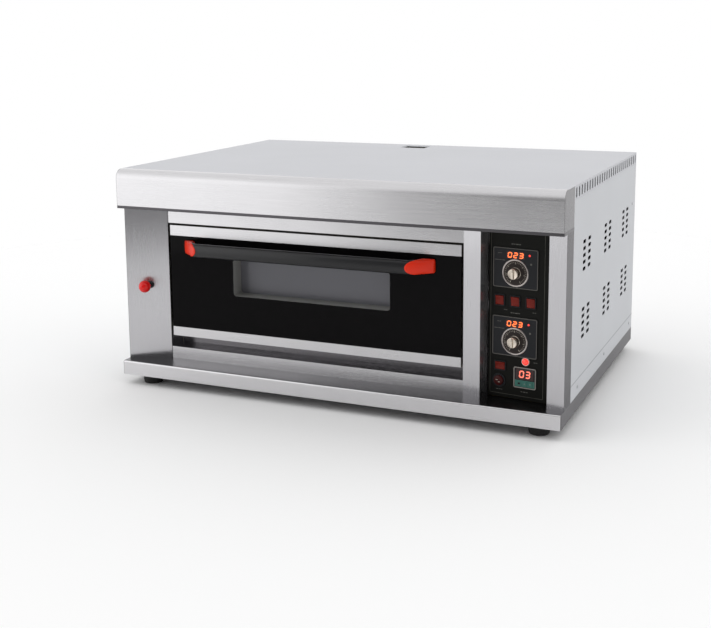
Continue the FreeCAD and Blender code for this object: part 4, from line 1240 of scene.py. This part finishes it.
def lofted(
    stations: np.ndarray, fronts: np.ndarray, backs: np.ndarray, halves: np.ndarray, z: float, power: float
) -> Skin:
    """Rounded sections across X, each between its own front and back.

    Args:
        stations: X of each section.
        fronts: Y of each section's front.
        backs: Y of each section's back.
        halves: Half height of each section.
        z: Height of all their middles.
        power: Squareness of the sections.

    Returns:
        The skin.
    """
    unit = superellipse(1.0, 1.0, power)
    middles, depths = (fronts + backs) / 2, (backs - fronts) / 2
    rings = np.empty((len(stations), len(unit), 3))
    rings[:, :, 0] = stations[:, None]
    rings[:, :, 1] = middles[:, None] + depths[:, None] * unit[None, :, 0]
    rings[:, :, 2] = z + halves[:, None] * unit[None, :, 1]
    return tube(rings)


@dataclass
class Door:
    """The drop-down door: black glass, steel strips, window, seal and the bar handle with red ends.

    Attributes:
        finish: Finishes by name.
        cap_start: Where a red end begins, as a share of its length before the bar stops.
        nose: Share of a red end's length taken by its rounded nose.
        cap_proud: How far the red end stands round the bar.
        end_round: Radius of the red end's outer edge.
        bend_power: Power of the distance along an end at which its front goes back.
        trim_w: Width of the black trim round the window.
        bead_r: Half width of the seal's round bead.
    """

    finish: dict[str, bpy.types.Material]
    cap_start: float = -0.06
    nose: float = 0.44
    cap_proud: float = 1.0
    end_round: float = 3.0
    bend_power: float = 1.25
    trim_w: float = 1.0
    bead_r: float = 3.6

    def handle(self) -> None:
        """A convex bar whose ends bend back, and red ends that lie over it with a rounded nose.

        Where u runs from 0 where the bar stops being straight to 1 at its outer end, the front goes back by
        the end's depth times u to the bend's power, and the nose's height follows an ellipse.
        """
        bar_low, bar_high = node_box("handle_bar")
        end_low, end_high = node_box("handle_ends")
        middle, z = (end_low[0] + end_high[0]) / 2, (bar_low[2] + bar_high[2]) / 2
        straight, whole = (bar_high[0] - bar_low[0]) / 2, (end_high[0] - end_low[0]) / 2
        reach, thick, half = whole - straight, bar_high[1] - bar_low[1], (bar_high[2] - bar_low[2]) / 2
        setback = end_high[1] - 7.0 - bar_low[1]
        u = np.linspace(0.0, 0.42, 9)
        right = straight + reach * u
        stations = np.concatenate([-right[::-1], right])
        bend = np.concatenate([u[::-1], u]) ** self.bend_power * setback
        fronts = bar_low[1] + bend
        bar = lofted(middle + stations, fronts, fronts + thick, np.full(len(stations), half), z, 2.5)
        oven_piece("handle_grip", [bar], self.finish["handle"], "door", ["handle_bar"], 50.0)
        nose_l, round_share = self.nose - self.cap_start, self.end_round / reach
        share = np.concatenate([
            self.cap_start + nose_l * (1 - np.cos(np.linspace(0.12, np.pi / 2, 14))),
            np.linspace(self.nose, 1.0 - round_share, 10)[1:],
            1.0 - round_share * (1 - np.sin(np.linspace(0.0, np.pi / 2, 6)[1:])),
        ])
        run = np.clip((self.nose - share) / nose_l, 0.0, 1.0)
        heights = (half + self.cap_proud) * np.sqrt(1.0 - run**2 * 0.985)
        heights -= 2.0 * np.clip((share - self.nose) / (1 - self.nose), 0.0, 1.0) ** 2
        last = np.clip((share - 1.0) * reach / self.end_round + 1.0, 0.0, 1.0)
        inset = self.end_round * (1 - np.sqrt(1.0 - last**2))
        cap_fronts = bar_low[1] - self.cap_proud + np.maximum(share, 0.0) ** self.bend_power * setback
        cap_backs = np.interp(share, [self.cap_start, 0.0, 0.3, 0.5, 1.0], [
            bar_low[1] + 1.5, bar_low[1] + 5.0, bar_high[1] + 1.0, end_high[1], end_high[1],
        ])
        red, node = self.finish["red_end"], ["handle_ends"]
        for side, way in (("left", -1.0), ("right", 1.0)):
            x = middle + way * (straight + reach * share)
            cap = lofted(x, cap_fronts + inset, cap_backs, heights - inset, z, 3.2)
            oven_piece(f"handle_{side}_end", [cap], red, "door", node, 60.0)

    def window_trim(self) -> None:
        """A thin black ring that covers the steel edge round the window."""
        low, high = node_box("door_window_box")
        width, height = high[0] - low[0], high[2] - low[2]
        corner, lip = 9.0, 0.8
        outer = rounded_outline(width + 2 * self.trim_w, height + 2 * self.trim_w, corner + self.trim_w, 8)
        inner = rounded_outline(width - 2 * lip, height - 2 * lip, corner - 1.0, 8)
        ring = front_seat(low, high, low[1]).frame(outer, inner, 0.05, 1.1, 0.5)
        oven_piece("window_trim", [ring], self.finish["trim"], "door")

    def seal(self) -> None:
        """A bead of constant section carried round the door's back, half round towards the oven."""
        low, high = node_box("door_gasket")
        width, height = high[0] - low[0], high[2] - low[2]
        depth, side, r = high[1] - low[1], 5.0, self.bead_r
        path = rounded_outline(width - 2 * side, height - 2 * side, 4.0, 6)
        x, _, z = (low + high) / 2
        points = np.column_stack([path[:, 0] + x, np.full(len(path), low[1]), path[:, 1] + z])
        a = np.linspace(0.0, np.pi, 12)
        bulb = np.column_stack([r * np.cos(a), depth - r + r * np.sin(a)])
        flank = np.array([(side, 0.0), (side, 1.4), (r, 1.8)])
        bead = swept(points, np.concatenate([flank, bulb, flank[::-1] * [-1, 1]]), BACK)
        silicone, node = self.finish["silicone"], ["door_gasket"]
        oven_piece("door_seal", [bead], silicone, "door", node, 50.0)

    def build(self) -> None:
        """Dresses the frame's door nodes and adds the detailed pieces."""
        dress(self.finish["enamel"], "door_front_panel")
        dress(self.finish["fascia"], "door_strips")
        dress(self.finish["liner"], "door_inner_panel")
        dress(self.finish["reveal"], "door_window_box")
        dress(self.finish["pane"], "door_window_glass")
        dress(self.finish["silicone"], "door_gasket")
        dress(self.finish["wool"], "door_insulation")
        dress(self.finish["zinc"], "door_hinge_bushes")
        dress(self.finish["handle"], "handle_bar")
        dress(self.finish["red_end"], "handle_ends")
        self.handle()
        self.window_trim()
        self.seal()


# ---------------------------------------------------------------- steam damper
@dataclass
class SteamDamper:
    """The pull knob on the left pillar: a ball on a flared neck, its bush and the plated rod.

    Attributes:
        finish: Finishes by name.
        ball_r: Radius of the ball.
        rod_r: Radius of the rod.
        bush_r: Radius of the bush's barrel.
    """

    finish: dict[str, bpy.types.Material]
    ball_r: float = 16.5
    rod_r: float = 4.0
    bush_r: float = 10.0

    def knob(self) -> None:
        """A ball whose profile turns into a waist and a collar where it meets the rod."""
        low, high = node_box("damper_knob")
        ball_y = low[1] + self.ball_r
        a = np.linspace(math.radians(-58.0), math.radians(89.0), 26)
        ball = [(self.ball_r * math.cos(s), self.ball_r * math.sin(s)) for s in a]
        foot = ball_y - high[1]
        neck = [(self.rod_r + 0.1, foot), (6.4, foot), (7.0, foot + 0.6), (7.0, foot + 2.0), (7.8, -14.9)]
        knob = front_seat(low, high, ball_y).turned(neck + ball, 56)
        red, node = self.finish["red_ball"], ["damper_knob"]
        oven_piece("damper_pull_knob", [knob], red, "damper", node)

    def bush(self) -> None:
        """A moulded bush on the pillar with a rounded rim, bored for the rod."""
        low, high = node_box("damper_bush")
        length, bore, outer, count = high[1] - low[1], self.rod_r + 0.08, self.bush_r, 48
        profile = [
            (bore, 0.0), (outer, 0.0), (outer, length - 6.0), (outer, length - 1.2),
            (outer - 0.5, length - 0.3), (outer - 1.3, length), (bore + 1.0, length), (bore, length - 0.8),
        ]
        rings = np.array([np.column_stack([circle(r, count), np.full(count, h)]) for r, h in profile])
        barrel = tube(front_seat(low, high, high[1]).place(rings), closed=True)
        black, node = self.finish["handle"], ["damper_bush"]
        oven_piece("damper_guide_bush", [barrel], black, "casing", node)

    def build(self) -> None:
        """Dresses the damper's frame nodes and adds the detailed pieces."""
        dress(self.finish["red_ball"], "damper_knob")
        dress(self.finish["handle"], "damper_bush")
        dress(self.finish["zinc"], "damper_rod")
        self.knob()
        self.bush()


# ---------------------------------------------------------------- casing
def solids_of(node: str) -> list[tuple[np.ndarray, np.ndarray]]:
    """Boxes of a frame node's separate solids.

    Each point takes the smallest number found on its faces until nothing changes, so that all of a
    solid's points end with one number.

    Args:
        node: The frame node.

    Returns:
        The lowest and highest corner of each solid, in millimetres.
    """
    mesh = frame["nodes"][node].data
    points = np.empty(len(mesh.vertices) * 3)
    mesh.vertices.foreach_get("co", points)
    points = points.reshape(-1, 3) / MM
    to_micron = 3
    same = np.unique(np.round(points, to_micron), axis=0, return_inverse=True)[1].reshape(-1)
    corners = np.empty(len(mesh.loops), dtype=np.int64)
    mesh.loops.foreach_get("vertex_index", corners)
    faces = same[corners].reshape(-1, 3)
    label = np.arange(same.max() + 1)
    settled = False
    while not settled:
        spread = label.copy()
        smallest = label[faces].min(axis=1, keepdims=True)
        np.minimum.at(spread, faces, np.repeat(smallest, 3, axis=1))
        settled, label = np.array_equal(spread, label), spread
    owner = label[same]
    return [(points[owner == own].min(axis=0), points[owner == own].max(axis=0)) for own in np.unique(owner)]


def hexagon(across_flats: float, count: int) -> np.ndarray:
    """A hexagon: half its width over the cosine of the angle from the nearest flat, as (place, 2)."""
    a = np.linspace(0.0, 2 * np.pi, count, endpoint=False)
    from_flat = np.mod(a, np.pi / 3) - np.pi / 6
    return (across_flats / 2 / np.cos(from_flat))[:, None] * circle(1.0, count)


@dataclass
class Casing:
    """The steel outside: hood, pillars, rails, ledge, painted panels, feet and screws.

    Attributes:
        finish: Finishes by name.
        hem_h: Height of the rolled hem along the hood's lower edge.
        hem_proud: How far the hem stands out.
        crease_z: Height of the side panels' lower crease.
        crease_h: Height of the crease's bead.
        ribs: Grip ribs round each foot.
        rib_depth: Depth of the grooves between the ribs.
        head_h: How far a panel screw's head stands out.
        socket: Width across flats of a screw's socket.
        rim_r: Radius of the rolled rim round the flue's opening.
    """

    finish: dict[str, bpy.types.Material]
    hem_h: float = 7.5
    hem_proud: float = 0.45
    crease_z: float = 107.0
    crease_h: float = 2.4
    ribs: int = 24
    rib_depth: float = 0.8
    head_h: float = 1.5
    socket: float = 4.0
    rim_r: float = 1.9

    def bead(self, path: np.ndarray, height: float, proud: float, up: Sequence[float]) -> Skin:
        """A half-oval bead whose outer side lies on the right of its path.

        Args:
            path: Points as (place, 3).
            height: Height of the bead along up.
            proud: How far it stands out.
            up: Unit direction across the bead's face.

        Returns:
            The skin.
        """
        s = np.linspace(-np.pi / 2, np.pi / 2, 10)
        oval = np.column_stack([-proud * np.cos(s), height / 2 * np.sin(s)])
        profile = np.concatenate([oval, [[0.5, height / 2], [0.5, -height / 2]]])
        return swept(path, profile, up, closed=False)

    def hems(self) -> None:
        """Beads along the hood's lower edge and both its ends, and a fine one along each side panel."""
        low, high = node_box("hood_fascia")
        ease = 0.6
        left = [(low[0], high[1]), (low[0], low[1] + ease), (low[0] + ease, low[1])]
        right = [(-x, y) for x, y in reversed(left)]
        points = np.array([(x, y, low[2] + self.hem_h / 2) for x, y in left + right])
        hem = self.bead(points, self.hem_h, self.hem_proud, UP)
        oven_piece("hood_hem", [hem], self.finish["hem"], "casing")
        for side, node in (("left", "side_panel_left"), ("right", "side_panel_right")):
            low, high = node_box(node)
            front, back = low[1] + 1.0, high[1] - 1.0
            x, run = (low[0], (back, front)) if side == "left" else (high[0], (front, back))
            line = np.array([[x, y, self.crease_z] for y in run])
            crease = self.bead(line, self.crease_h, 0.3, UP)
            grey = self.finish["crease"]
            oven_piece(f"side_crease_{side}", [crease], grey, "casing")

    def feet(self) -> None:
        """Ribbed rubber feet: the radius ripples with the angle, and the tread has a hole for the bolt."""
        pads = []
        count, hole = self.ribs * 6, 9.5
        a = np.linspace(0.0, 2 * np.pi, count, endpoint=False)
        ripple = self.rib_depth * (0.5 - 0.5 * np.cos(a * self.ribs)) ** 2
        for low, high in solids_of("feet"):
            x, y, _ = (low + high) / 2
            seat = Seat(np.array([x, y, 0.0]), RIGHT, BACK)
            top, tall = (high[0] - low[0]) / 2, high[2]
            profile = [
                (hole, 9.0, 0), (hole, 0.8, 0), (hole + 0.8, 0.0, 0), (top - 6.8, 0.0, 0),
                (top - 5.2, 1.6, 0), (top - 4.8, 3.4, 1), (top - 1.7, tall - 6.0, 1),
                (top - 0.9, tall - 4.6, 0), (top, tall - 3.2, 0), (top, tall - 0.6, 0),
                (top - 0.6, tall, 0), (hole, tall, 0),
            ]
            rings = [
                np.column_stack([(r - ribbed * ripple)[:, None] * circle(1.0, count), np.full(count, h)])
                for r, h, ribbed in profile
            ]
            pads.append(tube(seat.place(np.array(rings)), closed=True))
        oven_piece("ribbed_feet", pads, self.finish["rubber"], "casing", ["feet"], 35.0)

    def screws(self) -> None:
        """Button-head screws: a dome turned about the screw's axis with a six-sided socket sunk into it."""
        heads = []
        count = 36
        largest_head, rim = 20.0, 0.25
        for low, high in solids_of("fasteners"):
            size, (x, y, z) = high - low, (low + high) / 2
            if size[2] > largest_head:
                continue
            if size[0] < size[1]:
                way = math.copysign(1.0, x)
                face = (high[0] if way > 0 else low[0]) - way * self.head_h
                seat = Seat(np.array([face, y, z]), way * BACK, UP)
            else:
                seat = Seat(np.array([x, high[1] - self.head_h, z]), -RIGHT, UP)
            radius = size[2] / 2
            lift = np.linspace(0.0, 1.0, 7)
            dome = [circle(r, count) for r in radius - (radius - self.socket * 0.66) * lift**2]
            heights = rim + (self.head_h - rim) * np.sqrt(lift)
            pit = [hexagon(self.socket, count), hexagon(self.socket * 0.98, count)]
            outlines = [circle(radius, count), *dome, *pit]
            heads.append(seat.stack(outlines, [0.05, *heights, self.head_h - 0.05, 0.3]))
        oven_piece("panel_screw_heads", heads, self.finish["zinc"], "casing", (), 30.0)

    def flue_rim(self) -> None:
        """A rolled steel rim carried round the flue's mouth, just inside the top sheet's cut-out."""
        low, high = node_box("flue_duct")
        width, depth = high[0] - low[0], high[1] - low[1]
        outline = rounded_outline(width - 2.4, depth - 2.4, 3.0)
        middle = (low + high)[:2] / 2
        path = np.column_stack([outline + middle, np.full(len(outline), high[2] + 0.6)])
        rim = swept(path, circle(self.rim_r, 14), UP)
        oven_piece("flue_rim", [rim], self.finish["zinc"], "casing")

    def build(self) -> None:
        """Dresses the casing's frame nodes and adds the detailed pieces."""
        dress(self.finish["fascia"], "hood_fascia", "header_rail")
        dress(self.finish["sill"], "sill_rail")
        dress(self.finish["post"], "left_pillar", "centre_post", "right_post")
        dress(self.finish["ledge"], "front_ledge")
        dress(self.finish["shell"], "top_sheet", "rear_panel")
        dress(self.finish["side"], "side_panel_left", "side_panel_right")
        dress(self.finish["base"], "base_pan")
        dress(self.finish["rubber"], "feet")
        dress(self.finish["zinc"], "fasteners", "hinge_brackets")
        self.hems()
        self.feet()
        self.screws()
        self.flue_rim()


# ---------------------------------------------------------------- chamber and electrics
@dataclass
class Chamber:
    """The baking chamber: heated liner, deck, wool, elements, probes, lamp and flue.

    Attributes:
        finish: Finishes by name.
    """

    finish: dict[str, bpy.types.Material]

    def build(self) -> None:
        """Dresses the chamber's frame nodes."""
        dress(self.finish["liner"], "chamber_left_wall", "chamber_right_wall", "chamber_rear_wall")
        dress(self.finish["liner"], "chamber_roof", "chamber_floor", "flue_duct")
        dress(self.finish["deck"], "deck_plate")
        dress(self.finish["wool"], "chamber_insulation")
        dress(self.finish["sheath"], "upper_elements", "lower_elements", "temperature_probes")
        dress(self.finish["ceramic"], "lamp_holder")
        dress(self.finish["lamp_glass"], "lamp_glass")


@dataclass
class Electrics:
    """The wiring behind the panels: contactors, terminal block, harness and gland, and a black sheet behind
    the rear vents that is painted shade for the dark inside of the casing.

    Attributes:
        finish: Finishes by name.
        shade_sheet_gap: How far the black shade sheet lies inside the rear panel.
        block_gap: Gap between the terminal block and the shade sheet above it.
        shade_sheet_t: Thickness of the shade sheet.
        shade_sheet_size: Width and height of the shade sheet.
    """

    finish: dict[str, bpy.types.Material]
    shade_sheet_gap: float = 1.0
    block_gap: float = 8.0
    shade_sheet_t: float = 0.8
    shade_sheet_size: tuple[float, float] = (150.0, 270.0)

    def gauze(self) -> None:
        """A black sheet just inside the rear panel over its vents: painted shade that keeps the vents dark.
        """
        low, high = node_box("terminal_block")
        x, z = (low[0] + high[0]) / 2, high[2] + self.block_gap + self.shade_sheet_size[1] / 2
        y = node_box("rear_panel")[0][1] - self.shade_sheet_gap
        seat = Seat(np.array([x, y, z]), -RIGHT, UP)
        sheet = seat.slab(*self.shade_sheet_size, 6.0, -self.shade_sheet_t, 0.0, 0.2)
        oven_piece("rear_vent_shade_sheet", [sheet], self.finish["gauze"], "casing")

    def build(self) -> None:
        """Dresses the electrical frame nodes and adds the black shade sheet behind the vents."""
        dress(self.finish["switchgear"], "contactors", "terminal_block")
        dress(self.finish["wire"], "wiring_harness")
        dress(self.finish["gland"], "cable_gland")
        self.gauze()


# ---------------------------------------------------------------- the oven's finishes
# Dark tone painted on the steel's side returns: painted dark reflection.
OUTER_SIDE = (("X", 609.4, "#504e52"),)
# Darker tone painted on the sill rail's top face: painted shade under the door.
SILL_SHELF = (("Z", 98.7, "#868487"),)
# Darker tone painted on the front ledge's top face: painted reflection of the black panel and the dark sill.
LEDGE_TOP = (("Z", 65.6, "#69686b"),)
FINISHES: dict[str, Finish] = {
    "fascia": BrushedStainless(
        "brushed_stainless_fascia", "#cbcacc", 0.30, 0.5, depth_mm=0.005, painted_dark_faces=OUTER_SIDE
    ),
    "post": BrushedStainless(
        "brushed_stainless_post", "#c0bfc2", 0.30, 0.5, depth_mm=0.005,
        grain=Grain.UPRIGHT, painted_dark_faces=OUTER_SIDE,
    ),
    "ledge": BrushedStainless(
        "brushed_stainless_ledge", "#d2d1d3", 0.28, 0.5, depth_mm=0.005, painted_dark_faces=LEDGE_TOP + OUTER_SIDE
    ),
    "sill": BrushedStainless(
        "brushed_stainless_sill", "#cfced0", 0.30, 0.5, depth_mm=0.005, painted_dark_faces=SILL_SHELF
    ),
    # The hem's dark grey is painted shade: the fascia's steel, darkened for the shade under the hood's lower
    # edge.
    "hem": BrushedStainless("shaded_rolled_stainless_hem", "#5b595c", 0.45, 0.5, depth_mm=0.004),
    # The crease's darker grey is painted shade along the side panels' seam line.
    "crease": PowderCoat("crease_shade_grey_powder_coat", "#8d8f94", 0.45, 0.5),
    # The vent sheet's black is painted shade for the dark inside of the casing.
    "gauze": Moulding("black_vent_shade_sheet", "#101012", 0.8, 0.2, 1.4, 0.2),
    "reveal": PowderCoat("grey_enamelled_reveal", "#8e8e8b", 0.4, 0.5),
    "shell": PowderCoat("light_grey_powder_coat", "#bcbdc2", 0.42, 0.5),
    "side": PowderCoat("side_grey_powder_coat", "#c2c4c8", 0.45, 0.5),
    "base": PowderCoat("dark_grey_powder_coat", "#5d5b5e", 0.45, 0.5),
    "liner": HeatedSteel("heated_liner_steel", "#8b8984", 0.38, 0.5, "#9a8f7c"),
    "deck": HeatedSteel("seasoned_deck_steel", "#33302c", 0.55, 0.5, "#4a4038"),
    "sheath": HeatedSteel("oxidised_element_sheath", "#3d3a38", 0.5, 0.5, "#5a4a40", 0.8),
    "zinc": BrushedStainless("zinc_plated_steel", "#a9abae", 0.36, 0.5, scratch_mm=0.9),
    "wool": PressedWool("pressed_mineral_wool", "#b3a06c", 0.95, 0.5),
    "trim": Moulding("black_window_trim", "#0c0c0d", 0.3, 0.15, 0.8, 0.006),
    "enamel": BakedEnamel("black_baked_enamel", "#080708", 0.07, 0.05),
    "pane": TintedPane("grey_toughened_pane", "#7b7b81", 0.10, 0.3, 0.8),
    "lamp_glass": TintedPane("clear_lamp_glass", "#e8e6df", 0.06, 0.5, 0.3),
    "ceramic": Moulding("glazed_steatite", "#d8d3c6", 0.35, 0.5, 1.4, 0.01, 0.4),
    "rubber": Moulding("moulded_black_rubber", "#171717", 0.72, 0.5, 1.0, 0.05),
    "silicone": Moulding("dark_silicone_seal", "#2a2826", 0.6, 0.5, 1.2, 0.04),
    "handle": Moulding("satin_black_phenolic", "#1d1d1f", 0.36, 0.3, 0.9, 0.015, 0.15),
    "red_end": Moulding("glossy_red_nylon", "#f0300f", 0.32, 0.25, 1.1, 0.01, 0.1),
    "red_ball": Moulding("glossy_red_phenolic", "#e00c0a", 0.25, 0.25, 1.3, 0.006, 0.3),
    "panel": Moulding("screen_printed_black_plate", "#11110e", 0.42, 0.1, 0.7, 0.01),
    "case": Moulding("black_abs_case", "#202124", 0.4, 0.16, 0.7, 0.012),
    "case_line": Moulding("grey_abs_frame", "#55534f", 0.4, 0.3, 0.7, 0.01),
    "border": Moulding("olive_grey_screen_print", "#5a5a52", 0.6, 0.5, 0.5, 0.002),
    "lamp_ring": Moulding("pale_lamp_ring", "#c9b8ae", 0.35, 0.5, 0.8, 0.004, 0.3),
    "timer_frame": Moulding("silver_painted_abs_frame", "#8a8580", 0.35, 0.5, 0.8, 0.006, 0.2),
    "key_mark": Moulding("grey_key_print", "#6d7f7a", 0.6, 0.5, 0.5, 0.002),
    "dial_ring": BrushedStainless("satin_chrome_ring", "#a39c99", 0.28, 0.5, scratch_mm=0.6),
    "dial_face": Moulding("printed_dial_face", "#2c2523", 0.45, 0.2, 0.7, 0.005),
    "dial_knob": BrushedStainless("champagne_aluminium_knob", "#cfc5b8", 0.3, 0.5, scratch_mm=0.5),
    "print": Moulding("cream_screen_print", "#b9b2a4", 0.6, 0.5, 0.5, 0.002),
    "faint_print": Moulding("grey_screen_print", "#55544f", 0.6, 0.5, 0.5, 0.002),
    "screen": Moulding("smoked_red_window", "#2a0503", 0.12, 0.2, 0.9, 0.002, 0.6),
    "digits": Moulding("lit_orange_digits", "#ff6a32", 0.4, 0.5, 0.5, 0.001, 0.0, 2.2),
    "timer_digits": Moulding("lit_red_digits", "#f5705c", 0.4, 0.5, 0.5, 0.001, 0.0, 1.6),
    "rocker": Moulding("dark_red_polycarbonate", "#701c12", 0.34, 0.12, 0.9, 0.006, 0.1),
    "alarm": Moulding("oxblood_button", "#3a0706", 0.34, 0.12, 0.9, 0.006, 0.1),
    "lens": Moulding("lit_red_lens", "#f0352a", 0.2, 0.5, 0.8, 0.004, 0.6, 1.1),
    "keys": Moulding("sea_green_key_film", "#2f6b60", 0.5, 0.5, 0.7, 0.01),
    "switchgear": Moulding("grey_switchgear_moulding", "#8e908c", 0.5, 0.5, 0.9, 0.02),
    "wire": Moulding("sleeved_wiring", "#1c1c20", 0.5, 0.5, 1.5, 0.08),
    "gland": Moulding("black_nylon_gland", "#18181a", 0.5, 0.5, 0.9, 0.02),
}


def main() -> None:
    """Builds the studio and the oven, piece by piece."""
    logging.basicConfig(level=logging.INFO, format="%(name)s %(message)s")
    finish = {key: spec.build() for key, spec in FINISHES.items()}
    Studio().build()
    for assembly in (Casing, Chamber, Door, SteamDamper, ControlPanel, Electrics):
        assembly(finish).build()


if __name__ == "__main__":
    main()
